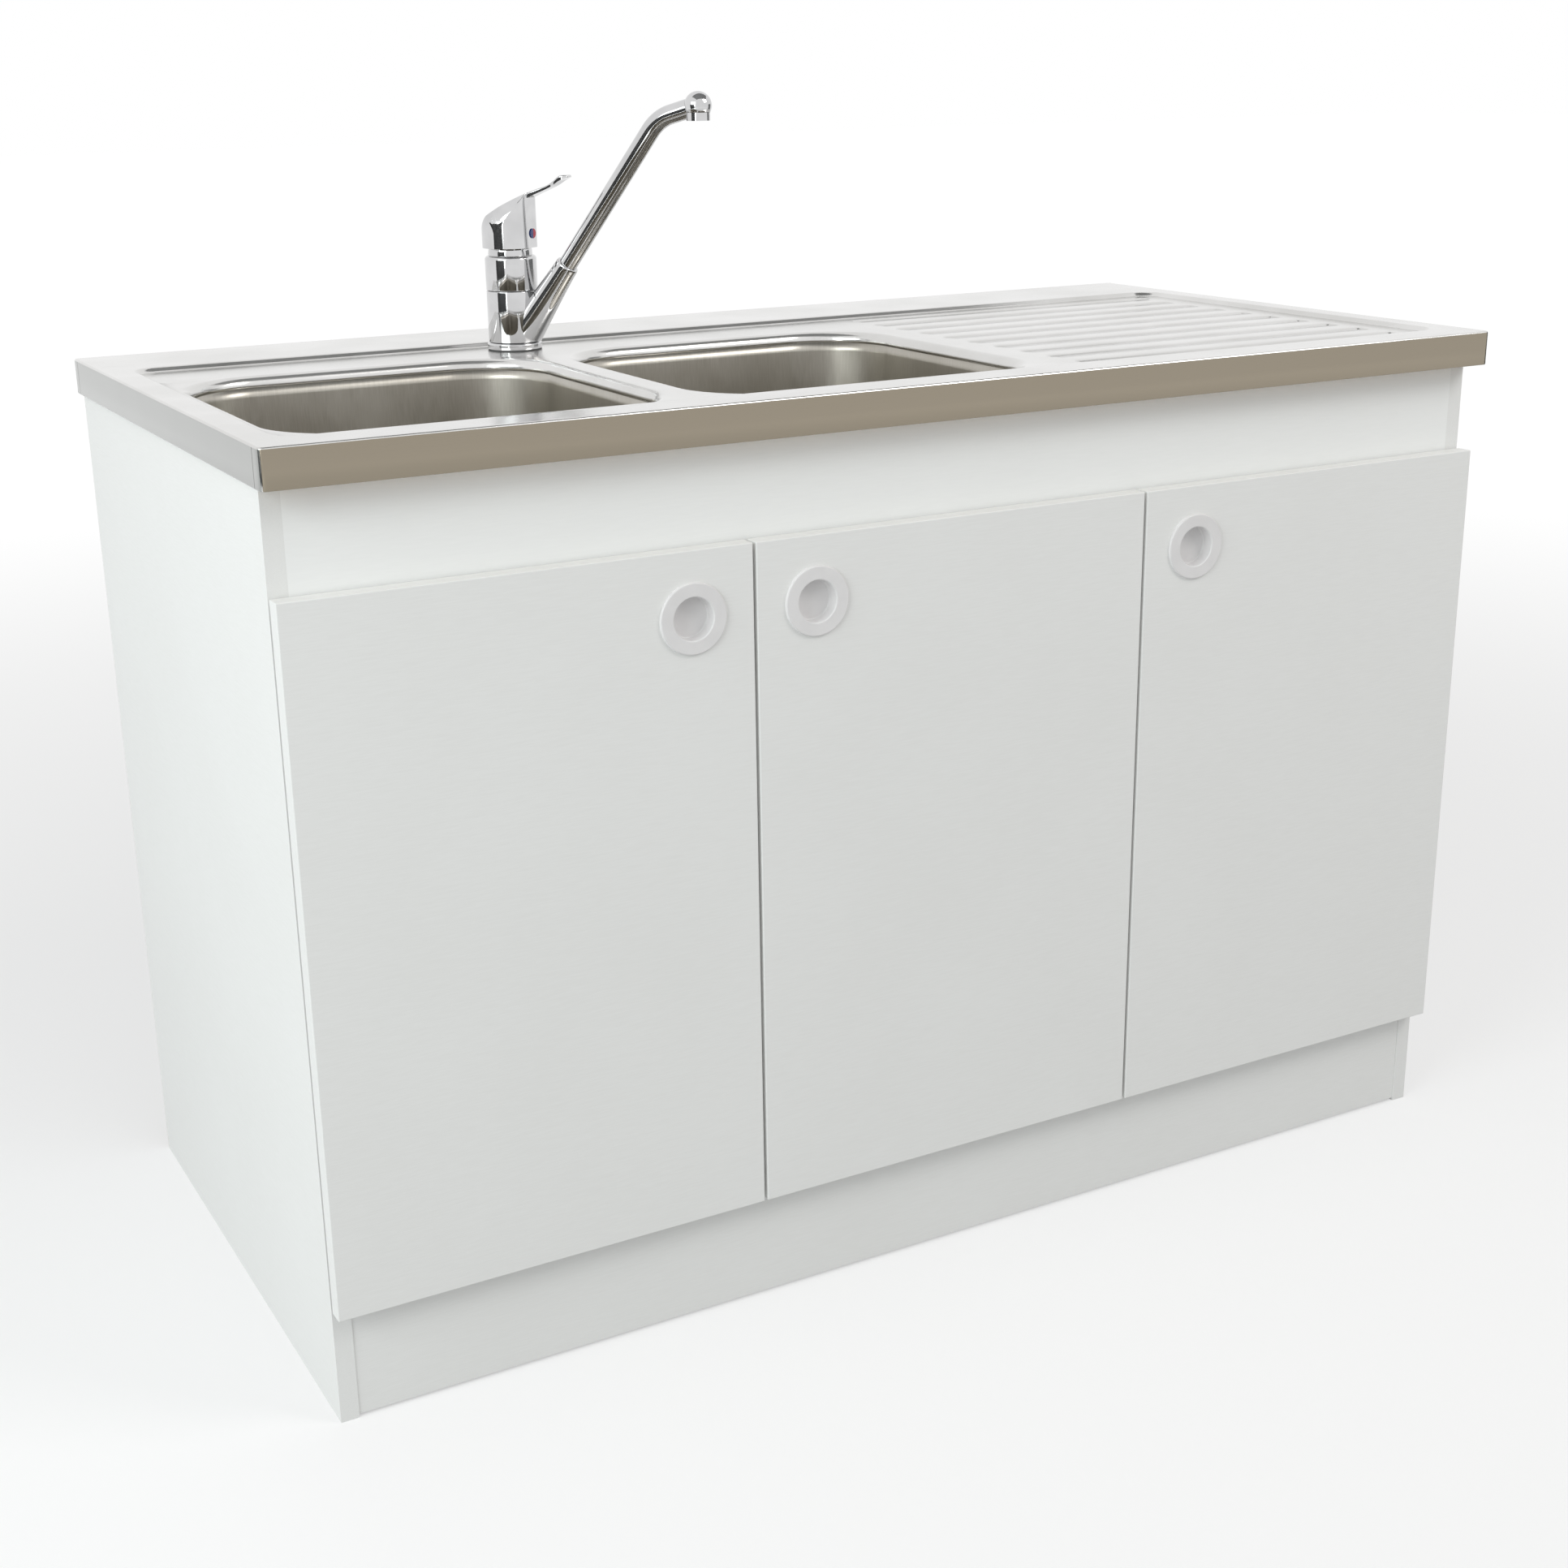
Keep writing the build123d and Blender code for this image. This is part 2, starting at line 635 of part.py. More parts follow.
at_hinges = [(0, 0, z) for z in hinge_heights]
for name, (edge_x, into, face_x, door_width) in doors.items():
    free_x = edge_x + into * door_width
    pull_x = free_x - into * pull_inset
    cup_x = edge_x + into * (cup_edge + cup_radius)
    cup = hinge_cup(edge_x, into)

    with BuildPart() as door:
        block((edge_x, door_front_y, door_bottom), (free_x, door_back_y, door_top))
        fillet(door.edges(), radius=door_round)
        bores([(pull_x, pull_z)], pull_outer + pull_play, pull_bore_depth, door_front_y)
        bores([(cup_x, z) for z in hinge_heights], cup_radius + cup_play, -cup_depth - cup_play, door_back_y)
    keep(door, f"door_{name}")

    pull_shell = turned([(0, pull_floor), (pull_recess_radius, pull_floor),
                         (pull_recess_radius, pull_flange_rise), (pull_flange_radius, pull_flange_rise),
                         (pull_flange_radius, 0), (pull_outer, 0), (pull_outer, pull_floor - pull_wall),
                         (0, pull_floor - pull_wall)], (pull_x, door_front_y, pull_z), (0, -1, 0),
                        rounds=((1, pull_round), (2, pull_round), (3, pull_round)))
    with BuildPart() as pull:
        add(pull_shell)
    keep(pull, f"pull_{name}")

    with BuildPart() as cups:
        with Locations(*at_hinges):
            add(cup)
    keep(cups, f"hinge_cups_{name}")

    with BuildPart() as pins:
        with Locations(*[(edge_x + into * hinge_pivot_in, door_front_y + hinge_pivot_deep, z)
                         for z in hinge_heights]):
            Cylinder(pin_radius, hinge_pin_length)
    keep(pins, f"hinge_pins_{name}")

    with BuildPart() as buffers:
        with Locations(*[(free_x - into * buffer_inset, door_back_y + buffer_length / 2, z)
                         for z in buffer_heights]):
            Cylinder(buffer_radius, buffer_length, rotation=(90, 0, 0))
    keep(buffers, f"door_buffers_{name}")

arms = [hinge_arm(edge_x, into, face_x) for edge_x, into, face_x, door_width in doors.values()]
with BuildPart() as hinge_arms:
    with Locations(*at_hinges):
        add(arms)
keep(hinge_arms, "hinge_arms")

plates = [hinge_plate(into, face_x) for edge_x, into, face_x, door_width in doors.values()]
with BuildPart() as hinge_plates:
    with Locations(*at_hinges):
        add(plates)
keep(hinge_plates, "hinge_plates")

# ---------------------------------------------------------------- strainers and wastes
pot_floor_z = seat_z - pot_depth
pot_inside = pot_radius - pot_wall
basket_foot_z = pot_floor_z + pot_wall
basket_z = basket_foot_z + basket_lift
basket_inside = basket_radius - basket_wall
knob_z = basket_z + knob_height
seal_top = seat_z - sheet
flange_top = seal_top - seal_thickness
flange_base = flange_top - body_flange
waste_floor_z = flange_top - body_depth
spigot_z = waste_floor_z - spigot_length
pipe_bore = pipe_radius - pipe_wall
body_inside = pot_radius + body_play
body_outside = body_inside + body_wall

pot = turned([(0, pot_floor_z), (pot_radius, pot_floor_z), (pot_radius, seat_z), (pot_flange_radius, seat_z),
              (pot_flange_radius, seat_z + pot_flange), (pot_inside, seat_z + pot_flange),
              (pot_inside, basket_foot_z), (0, basket_foot_z)],
             rounds=((4, pot_wall), (5, pot_wall)))
with BuildPart() as strainer_pots:
    with Locations(*bowl_centres):
        add(pot)
        with PolarLocations(pot_hole_circle, pot_hole_count):
            with Locations((0, 0, pot_floor_z)):
                Cylinder(pot_hole_radius, 4 * pot_wall, mode=Mode.SUBTRACT)
keep(strainer_pots, "strainer_pots")

seal = turned([(body_outside, flange_top), (seal_radius, flange_top), (seal_radius, seal_top),
               (body_outside, seal_top)])
with BuildPart() as waste_seals:
    with Locations(*bowl_centres):
        add(seal)
keep(waste_seals, "waste_seals")

waste = turned([(pipe_bore, spigot_z), (pipe_radius, spigot_z), (pipe_radius, waste_floor_z),
                (body_outside - body_wall, waste_floor_z), (body_outside, waste_floor_z + body_wall),
                (body_outside, flange_base), (body_flange_radius, flange_base),
                (body_flange_radius, flange_top), (body_inside, flange_top),
                (body_inside, waste_floor_z + body_wall), (pipe_bore, waste_floor_z + body_wall)])
with BuildPart() as waste_bodies:
    with Locations(*bowl_centres):
        add(waste)
keep(waste_bodies, "waste_bodies")

strainer = turned([(0, basket_foot_z), (basket_foot_radius, basket_foot_z), (basket_foot_radius, basket_z),
                   (basket_radius - basket_lift, basket_z), (basket_radius, basket_z + basket_lift),
                   (basket_radius, basket_z + basket_height), (basket_inside, basket_z + basket_height),
                   (basket_inside, basket_z + basket_lift),
                   (basket_inside - basket_lift, basket_z + basket_wall),
                   (knob_stem_radius, basket_z + basket_wall), (knob_stem_radius, knob_z - knob_rim),
                   (knob_radius, knob_z - knob_rim), (knob_radius, knob_z), (0, knob_z)],
                  rounds=((12, basket_wall),))
for name, centre in zip(("basket_left", "basket_right"), bowl_centres):
    with BuildPart() as basket:
        with Locations(centre):
            add(strainer)
            with PolarLocations(basket_hole_circle, basket_hole_count):
                with Locations((0, 0, basket_z)):
                    Cylinder(basket_hole_radius, 4 * basket_wall, mode=Mode.SUBTRACT)
    keep(basket, name)

# ---------------------------------------------------------------- pipes and bottle trap
joint_z = spigot_z - pipe_end_gap
cross_z = joint_z - pipe_leg - pipe_bend
trap_top = cross_z - pipe_radius - nut_length - 2 * pipe_end_gap
trap_bottom = trap_top - trap_body_height
trap_inside = trap_radius - pipe_wall
trap_outlet_z = trap_top - trap_outlet_drop
branch_x = bowl_right_x - pipe_radius - branch_length
outlet_joint_y = bowl_y + trap_radius + branch_length


def pipe(start, end, radius, mode=Mode.ADD):
    """Round bar between two points, for the part being built."""
    run = Vector(*end) - Vector(*start)
    with Locations(Plane(origin=start, z_dir=run)):
        Cylinder(radius, run.length, align=(Align.CENTER, Align.CENTER, Align.MIN), mode=mode)


with BuildPart() as cross_pipe:
    with BuildLine():
        FilletPolyline((bowl_left_x, bowl_y, joint_z), (bowl_left_x, bowl_y, cross_z),
                       (branch_x - pipe_end_gap, bowl_y, cross_z), radius=pipe_bend)
    with BuildSketch(Plane(origin=(bowl_left_x, bowl_y, joint_z), z_dir=(0, 0, -1))):
        Circle(pipe_radius)
        Circle(pipe_bore, mode=Mode.SUBTRACT)
    sweep()
keep(cross_pipe, "cross_pipe")

drop_top = (bowl_right_x, bowl_y, joint_z)
drop_end = (bowl_right_x, bowl_y, trap_bottom)
drop_branch = (bowl_right_x, bowl_y, cross_z)
branch_end = (branch_x, bowl_y, cross_z)
with BuildPart() as waste_tee:
    pipe(drop_top, drop_end, pipe_radius)
    pipe(drop_branch, branch_end, pipe_radius)
    pipe(drop_branch, branch_end, pipe_bore, mode=Mode.SUBTRACT)
    pipe(drop_top, drop_end, pipe_bore, mode=Mode.SUBTRACT)
keep(waste_tee, "waste_tee")

trap_shell = turned([(trap_inside, trap_bottom), (trap_radius, trap_bottom), (trap_radius, trap_top),
                     (pipe_radius + pin_play, trap_top), (pipe_radius + pin_play, trap_top - pipe_wall),
                     (trap_inside, trap_top - pipe_wall)], (bowl_right_x, bowl_y, 0))
outlet_root = (bowl_right_x, bowl_y, trap_outlet_z)
outlet_joint = (bowl_right_x, outlet_joint_y, trap_outlet_z)
with BuildPart() as trap_body:
    pipe(outlet_root, outlet_joint, pipe_radius)
    pipe((bowl_right_x, bowl_y, trap_bottom), (bowl_right_x, bowl_y, trap_top), trap_inside,
         mode=Mode.SUBTRACT)
    add(trap_shell)
    pipe(outlet_root, outlet_joint, pipe_bore, mode=Mode.SUBTRACT)
keep(trap_body, "trap_body")

collar_inside = trap_radius + pin_play
trap_foot = trap_bottom - trap_cup_height
trap_cup_shell = turned([(0, trap_foot), (trap_radius, trap_foot), (trap_radius, trap_bottom - pipe_wall),
                         (collar_inside + pipe_wall, trap_bottom - pipe_wall),
                         (collar_inside + pipe_wall, trap_bottom + trap_cup_lap),
                         (collar_inside, trap_bottom + trap_cup_lap), (collar_inside, trap_bottom),
                         (trap_inside, trap_bottom), (trap_inside, trap_foot + pipe_wall),
                         (0, trap_foot + pipe_wall)], (bowl_right_x, bowl_y, 0),
                        rounds=((1, 3 * pipe_wall), (8, 2 * pipe_wall)))
with BuildPart() as trap_cup:
    add(trap_cup_shell)
keep(trap_cup, "trap_cup")

outlet_start = (bowl_right_x, outlet_joint_y + pipe_end_gap, trap_outlet_z)
outlet_end = (bowl_right_x, unit_depth / 2, trap_outlet_z)
tail_start = (bowl_right_x, unit_depth / 2 - tail_length, trap_outlet_z)
tail_stop = (bowl_right_x, unit_depth / 2 - tail_length - tail_ring, trap_outlet_z)
with BuildPart() as outlet_pipe:
    pipe(outlet_start, tail_stop, pipe_radius)
    pipe(tail_stop, tail_start, tail_radius + pipe_wall)
    pipe(tail_start, outlet_end, tail_radius)
    pipe(outlet_start, outlet_end, pipe_bore, mode=Mode.SUBTRACT)
keep(outlet_pipe, "outlet_pipe")

# each nut: its middle and the direction of the pipe in it
nut_places = (
    ((bowl_left_x, bowl_y, joint_z), (0, 0, 1)),
    ((bowl_right_x, bowl_y, joint_z), (0, 0, 1)),
    ((bowl_right_x, bowl_y, trap_top + nut_length / 2), (0, 0, 1)),
    ((branch_x, bowl_y, cross_z), (1, 0, 0)),
    ((bowl_right_x, outlet_joint_y, trap_outlet_z), (0, 1, 0)),
)
with BuildPart() as slip_nuts:
    for middle, along in nut_places:
        with BuildSketch(Plane(origin=middle, z_dir=along).offset(-nut_length / 2)):
            RegularPolygon(nut_radius, nut_sides)
            Circle(pipe_radius + pin_play, mode=Mode.SUBTRACT)
        extrude(amount=nut_length)
keep(slip_nuts, "slip_nuts")

# ---------------------------------------------------------------- tap
outwards = Vector(cos(radians(tap_azimuth)), sin(radians(tap_azimuth)), 0)
sideways = Vector(-outwards.Y, outwards.X, 0)
tap_base = Vector(tap_x, tap_y, deck_z)
tap_plan = Plane(origin=tap_base, x_dir=outwards, z_dir=(0, 0, 1))
tap_side = Plane(origin=tap_base, x_dir=outwards, z_dir=outwards.cross(Vector(0, 0, 1)))
stud_at = (tap_x, tap_y - stud_offset)
tap_axis = Axis(tap_base, (0, 0, 1))


def tap_place(along, height):
    """Point in the tap's upright plane of symmetry."""
    return tap_base + outwards * along + Vector(0, 0, height)


flange_height = tap_gasket_thickness + tap_flange_height
stiffener_base = -sheet - stiffener_thickness
horseshoe_base = stiffener_base - horseshoe_thickness
cartridge_bore = cartridge_radius + tap_running_play
crown_seat = tap_shoulder - crown_skirt
crown_bore = crown_skirt_radius + tap_running_play
body_waist = tap_sleeve_top + tap_slide_gap

gasket = turned([(tap_hole_radius, 0), (tap_gasket_radius, 0), (tap_gasket_radius, tap_gasket_thickness),
                 (tap_hole_radius, tap_gasket_thickness)], tap_base)
with BuildPart() as tap_gasket:
    add(gasket)
keep(tap_gasket, "tap_gasket")

tap_blank = turned([(0, -tap_spigot_length), (tap_spigot_radius, -tap_spigot_length),
                    (tap_spigot_radius, tap_gasket_thickness), (tap_flange_radius, tap_gasket_thickness),
                    (tap_flange_radius, flange_height), (tap_core_radius, flange_height),
                    (tap_core_radius, body_waist), (tap_radius, body_waist), (tap_radius, tap_shoulder),
                    (crown_bore, tap_shoulder), (crown_bore, crown_seat), (cartridge_bore, crown_seat),
                    (cartridge_bore, cartridge_base), (0, cartridge_base)], tap_base,
                   rounds=((4, tap_flange_height / 3), (8, tap_shoulder_round)))
with BuildPart() as tap_body:
    add(tap_blank)
    with Locations(*[(tap_x + side * inlet_offset, tap_y + inlet_back, deck_z - tap_spigot_length)
                     for side in (-1, 1)]):
        Cylinder(inlet_radius, 2 * inlet_depth, mode=Mode.SUBTRACT)
    with Locations((*stud_at, deck_z - tap_spigot_length)):
        Cylinder(stud_radius + tap_running_play, 2 * inlet_depth, mode=Mode.SUBTRACT)
keep(tap_body, "tap_body")

with BuildPart() as tap_stud:
    with Locations((*stud_at, deck_z - tap_spigot_length + inlet_depth - stud_length / 2)):
        Cylinder(stud_radius, stud_length)
keep(tap_stud, "tap_stud")

with BuildPart() as tap_stiffener:
    with Locations((tap_x, tap_y, deck_z + stiffener_base + stiffener_thickness / 2)):
        Box(stiffener_width, stiffener_length, stiffener_thickness)
        Cylinder(tap_hole_radius, stiffener_thickness, mode=Mode.SUBTRACT)
keep(tap_stiffener, "tap_stiffener")

with BuildPart() as tap_horseshoe:
    with BuildSketch(Plane.XY.offset(deck_z + horseshoe_base)):
        with Locations((tap_x, tap_y)):
            Circle(horseshoe_radius)
        with Locations((tap_x, tap_y - horseshoe_slot_start + horseshoe_radius)):
            Rectangle(horseshoe_slot, 2 * horseshoe_radius, mode=Mode.SUBTRACT)
        with Locations(stud_at):
            Circle(stud_radius + tap_running_play, mode=Mode.SUBTRACT)
    extrude(amount=horseshoe_thickness)
keep(tap_horseshoe, "tap_horseshoe")

with BuildPart() as tap_nut:
    with BuildSketch(Plane.XY.offset(deck_z + horseshoe_base)):
        with Locations(stud_at):
            RegularPolygon(tap_nut_across / 2, 6, major_radius=False)
            Circle(stud_radius + tap_running_play, mode=Mode.SUBTRACT)
    extrude(amount=-tap_nut_height)
keep(tap_nut, "tap_nut")

with BuildPart() as tap_cartridge:
    with Locations(tap_place(0, (cartridge_base + cartridge_top) / 2)):
        Cylinder(cartridge_radius, cartridge_top - cartridge_base)
keep(tap_cartridge, "tap_cartridge")

crown_top = lever_pivot + sqrt(crown_radius ** 2 - crown_opening ** 2)
with BuildPart() as tap_crown:
    with BuildSketch(tap_side):
        with Locations((0, lever_pivot)):
            Circle(crown_radius)
            Circle(crown_radius - crown_wall, mode=Mode.SUBTRACT)
        with Locations(((crown_radius + crown_opening) / 2, (tap_shoulder + crown_top) / 2)):
            Rectangle(crown_radius - crown_opening, crown_top - tap_shoulder, mode=Mode.INTERSECT)
        with Locations((crown_skirt_radius - crown_wall / 2, tap_shoulder - crown_skirt / 2)):
            Rectangle(crown_wall, crown_skirt)
    revolve(axis=tap_axis)
keep(tap_crown, "tap_crown")

with BuildPart() as tap_carrier:
    with BuildSketch(tap_plan.offset(cartridge_top + tap_slide_gap)):
        Circle(carrier_radius)
    extrude(amount=carrier_height)
    with BuildSketch(tap_plan.offset(lever_pivot - carrier_slot_floor)):
        Rectangle(2 * carrier_radius, stem_size + 2 * tap_running_play)
    extrude(amount=carrier_height, mode=Mode.SUBTRACT)
    with BuildSketch(tap_side.offset(-carrier_radius)):
        with Locations((0, lever_pivot)):
            Circle(pin_radius + pin_fit)
    extrude(amount=2 * carrier_radius, mode=Mode.SUBTRACT)
keep(tap_carrier, "tap_carrier")

with BuildPart() as tap_pivot_pin:
    with BuildSketch(tap_side.offset(pin_radius - carrier_radius)):
        with Locations((0, lever_pivot)):
            Circle(pin_radius)
    extrude(amount=2 * (carrier_radius - pin_radius))
keep(tap_pivot_pin, "tap_pivot_pin")

with BuildPart() as tap_stem:
    with BuildSketch(tap_side.offset(-stem_size / 2)):
        with Locations((0, lever_pivot)):
            Circle(stem_size / 2)
        with Locations((0, (lever_pivot + stem_top) / 2)):
            Rectangle(stem_size, stem_top - lever_pivot)
        with Locations((0, lever_pivot)):
            Circle(pin_radius + pin_play, mode=Mode.SUBTRACT)
    extrude(amount=stem_size)
keep(tap_stem, "tap_stem")

lever_reach = max(along for along, height in lever_under)
lever_top = max(height for half, height in lever_widths)
with BuildPart() as tap_lever:
    with BuildSketch(tap_side.offset(-lever_radius)):
        with BuildLine():
            Spline(*lever_over)
            Polyline(*lever_under)
        make_face()
    extrude(amount=2 * lever_radius)
    with BuildSketch(Plane(origin=tap_place(-lever_radius, 0), x_dir=sideways, z_dir=outwards)):
        with BuildLine():
            Polyline(*lever_widths, *[(-half, height) for half, height in reversed(lever_widths)], close=True)
        make_face()
    extrude(amount=lever_reach + lever_radius, mode=Mode.INTERSECT)
    with BuildSketch(tap_plan.offset(lever_rim)):
        Circle(lever_radius)
        with Locations((lever_reach / 2, 0)):
            Rectangle(lever_reach, lever_blade)
    extrude(amount=lever_top - lever_rim, mode=Mode.INTERSECT)
    with Locations(tap_place(0, lever_pivot)):
        Sphere(crown_radius + dome_play, mode=Mode.SUBTRACT)
    with BuildSketch(tap_plan.offset(lever_pivot)):
        Rectangle(stem_size, stem_size)
    extrude(amount=stem_top - lever_pivot, mode=Mode.SUBTRACT)
keep(tap_lever, "tap_lever")

face_top, face_foot = lever_under[-3], lever_under[-2]
face_lean = (face_top[0] - face_foot[0]) / (face_top[1] - face_foot[1])
index_along = face_foot[0] + face_lean * (index_height - face_foot[1])
with BuildPart() as tap_index:
    with BuildSketch(Plane(origin=tap_place(index_along, index_height), x_dir=sideways,
                           z_dir=outwards - Vector(0, 0, face_lean))):
        Ellipse(index_width / 2, index_tall / 2)
    extrude(amount=index_rise)
keep(tap_index, "tap_index")

sleeve_base = flange_height + tap_slide_gap
sleeve = turned([(tap_core_radius + tap_running_play, sleeve_base), (tap_radius, sleeve_base),
                 (tap_radius, tap_sleeve_top), (tap_core_radius + tap_running_play, tap_sleeve_top)],
                tap_base)
neck_run = tap_place(*neck_end) - tap_place(*neck_start)
nose = turned([(0, -aerator_drop), (nose_radius, -aerator_drop), (nose_radius, nose_radius),
               (0, nose_radius)], tap_place(*spout_end))
with BuildPart() as tap_spout:
    with BuildLine():
        FilletPolyline(tap_place(*neck_end), tap_place(*spout_bend), tap_place(*spout_end),
                       radius=spout_bend_radius)
    with BuildSketch(Plane(origin=tap_place(*neck_end), z_dir=tap_place(*spout_bend) - tap_place(*neck_end))):
        Circle(spout_radius)
    sweep()
    with Locations(Plane(origin=tap_place(*neck_start), z_dir=neck_run)):
        Cone(neck_start_radius, neck_end_radius, neck_run.length,
             align=(Align.CENTER, Align.CENTER, Align.MIN))
    with BuildSketch(tap_plan.offset(tap_sleeve_top)):
        Circle(tap_radius + neck_clearance)
    extrude(amount=neck_end[1], mode=Mode.SUBTRACT)
    with BuildSketch(tap_plan.offset(sleeve_base)):
        Circle(tap_core_radius + tap_running_play)
    extrude(amount=tap_sleeve_top, mode=Mode.SUBTRACT)
    add(sleeve)
    with Locations(tap_place(*spout_end)):
        Sphere(nose_radius)
    with BuildSketch(Plane(origin=tap_place(spout_end[0], spout_end[1] - aerator_drop), z_dir=(0, 0, -1))):
        Circle(nose_radius)
    extrude(amount=nose_radius, mode=Mode.SUBTRACT)
keep(tap_spout, "tap_spout")

mesh_radius = aerator_radius - aerator_wall
aerator = turned([(0, aerator_mesh - aerator_length), (mesh_radius, aerator_mesh - aerator_length),
                  (mesh_radius, -aerator_length), (aerator_radius, -aerator_length), (aerator_radius, 0),
                  (0, 0)], tap_place(spout_end[0], spout_end[1] - aerator_drop))
with BuildPart() as tap_aerator:
    add(aerator)
keep(tap_aerator, "tap_aerator")
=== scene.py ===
"""Three-door kitchen sink unit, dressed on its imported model. Metres, +Z up, the doors face -Y."""
from math import cos, pi, radians, sin

import bmesh
import bpy
import numpy as np
from mathutils import Matrix


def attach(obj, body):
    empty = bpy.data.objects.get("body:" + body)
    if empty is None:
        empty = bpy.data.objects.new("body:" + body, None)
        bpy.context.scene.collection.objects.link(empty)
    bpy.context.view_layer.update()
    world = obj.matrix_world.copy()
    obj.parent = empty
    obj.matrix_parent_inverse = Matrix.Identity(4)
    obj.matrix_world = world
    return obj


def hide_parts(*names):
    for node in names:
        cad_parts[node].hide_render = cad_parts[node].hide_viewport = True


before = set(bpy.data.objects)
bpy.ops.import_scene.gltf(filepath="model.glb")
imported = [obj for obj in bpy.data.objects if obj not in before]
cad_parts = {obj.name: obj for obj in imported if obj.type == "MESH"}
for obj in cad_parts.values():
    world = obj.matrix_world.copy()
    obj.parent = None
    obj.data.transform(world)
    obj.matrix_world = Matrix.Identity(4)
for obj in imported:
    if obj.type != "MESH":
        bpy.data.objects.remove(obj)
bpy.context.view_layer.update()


# ---------------------------------------------------------------- studio
# A pale seamless floor, an even white room and two large soft lamps, one at the upper right and one at
# the left. The camera stands where the photograph was taken from, left of the unit and above its top.
class Shade:
    """A shader socket that Python's arithmetic adds Math nodes to."""

    def __init__(self, tree, socket):
        self.tree, self.socket = tree, socket

    def node(self, kind, settings, sockets, output=0):
        """Any node: its settings are set first, then its sockets get values or links."""
        made = self.tree.nodes.new(kind)
        for name, value in settings.items():
            setattr(made, name, value)
        for name, value in sockets.items():
            if isinstance(value, Shade):
                self.tree.links.new(value.socket, made.inputs[name])
            else:
                made.inputs[name].default_value = value
        return Shade(self.tree, made.outputs[output])

    def math(self, operation, *values):
        return self.node("ShaderNodeMath", {"operation": operation}, dict(enumerate(values)))

    def __add__(self, other):
        return self.math("ADD", self, other)

    __radd__ = __add__

    def __sub__(self, other):
        return self.math("SUBTRACT", self, other)

    def __rsub__(self, other):
        return self.math("SUBTRACT", other, self)

    def __mul__(self, other):
        return self.math("MULTIPLY", self, other)

    __rmul__ = __mul__

    def __gt__(self, other):
        return self.math("GREATER_THAN", self, other)

    def __lt__(self, other):
        return self.math("LESS_THAN", self, other)

    def __abs__(self):
        return self.math("ABSOLUTE", self)

    def ramp(self, low, high):
        """0 below low, 1 above high and a soft climb between them."""
        return self.node("ShaderNodeMapRange", {"interpolation_type": "SMOOTHSTEP"},
                         {"Value": self, "From Min": low, "From Max": high})

    def tint(self, low, high):
        """A colour between two, by this value."""
        return self.node("ShaderNodeMix", {"data_type": "RGBA"}, {0: self, 6: low, 7: high}, output=2)

    def along(self, axis):
        """One coordinate of this place."""
        return self.node("ShaderNodeSeparateXYZ", {}, {0: self}, output="XYZ".index(axis))

    def grain(self, size, drawn=(1, 1, 1), detail=2.0):
        """Noise between 0 and 1 whose grains are size metres across, drawn out by a factor on each axis."""
        spot = self.node("ShaderNodeMapping", {},
                         {"Vector": self, "Scale": tuple(1 / (size * factor) for factor in drawn)})
        return self.node("ShaderNodeTexNoise", {}, {"Vector": spot, "Scale": 1.0, "Detail": detail})


def seen_in(tree):
    """1 for what the camera sees, straight or in metal or glass, and 0 for the light on the object: the
    greatest of three kinds of ray."""
    rays = tree.nodes.new("ShaderNodeLightPath").outputs
    seen = Shade(tree, rays["Is Camera Ray"])
    for kind in ("Is Glossy Ray", "Is Transmission Ray"):
        seen = seen.math("MAXIMUM", seen, Shade(tree, rays[kind]))
    return seen


# The room is white where it is seen, and lights the object at a little over half of that.
room_light = 0.56
room = bpy.data.worlds.new("room")
bpy.context.scene.world = room
room.use_nodes = True
sky = room.node_tree.nodes["Background"]
sky.inputs["Color"].default_value = (1, 1, 1, 1)
room_strength = room_light + seen_in(room.node_tree) * (1 - room_light)
room.node_tree.links.new(room_strength.socket, sky.inputs["Strength"])

# The floor is a grey matt paper with a glow where it is seen, which grows from 1 m to 4.5 m away.
floor_half, floor_grey, near_glow, more_glow = 30, 0.50, 0.45, 0.28
floor_mesh = bpy.data.meshes.new("studio_floor")
floor_mesh.from_pydata([(-floor_half, -floor_half, 0), (floor_half, -floor_half, 0),
                        (floor_half, floor_half, 0), (-floor_half, floor_half, 0)], [], [(0, 1, 2, 3)])
studio_floor = bpy.data.objects.new("studio_floor", floor_mesh)
bpy.context.collection.objects.link(studio_floor)
paper = bpy.data.materials.new("studio paper")
paper.use_nodes = True
floor_mesh.materials.append(paper)
tree = paper.node_tree
tree.nodes.remove(tree.nodes["Principled BSDF"])
seen = seen_in(tree)
away = seen.node("ShaderNodeVectorMath", {"operation": "LENGTH"},
                 {0: Shade(tree, tree.nodes.new("ShaderNodeTexCoord").outputs["Object"])}, output=1)
floor_strength = seen * (near_glow + away.ramp(1.0, 4.5) * more_glow)
matt = seen.node("ShaderNodeBsdfDiffuse", {}, {"Color": (floor_grey, floor_grey, floor_grey, 1)})
glow = seen.node("ShaderNodeEmission", {}, {"Strength": floor_strength})
whole = seen.node("ShaderNodeAddShader", {}, {0: matt, 1: glow})
tree.links.new(whole.socket, tree.nodes["Material Output"].inputs["Surface"])

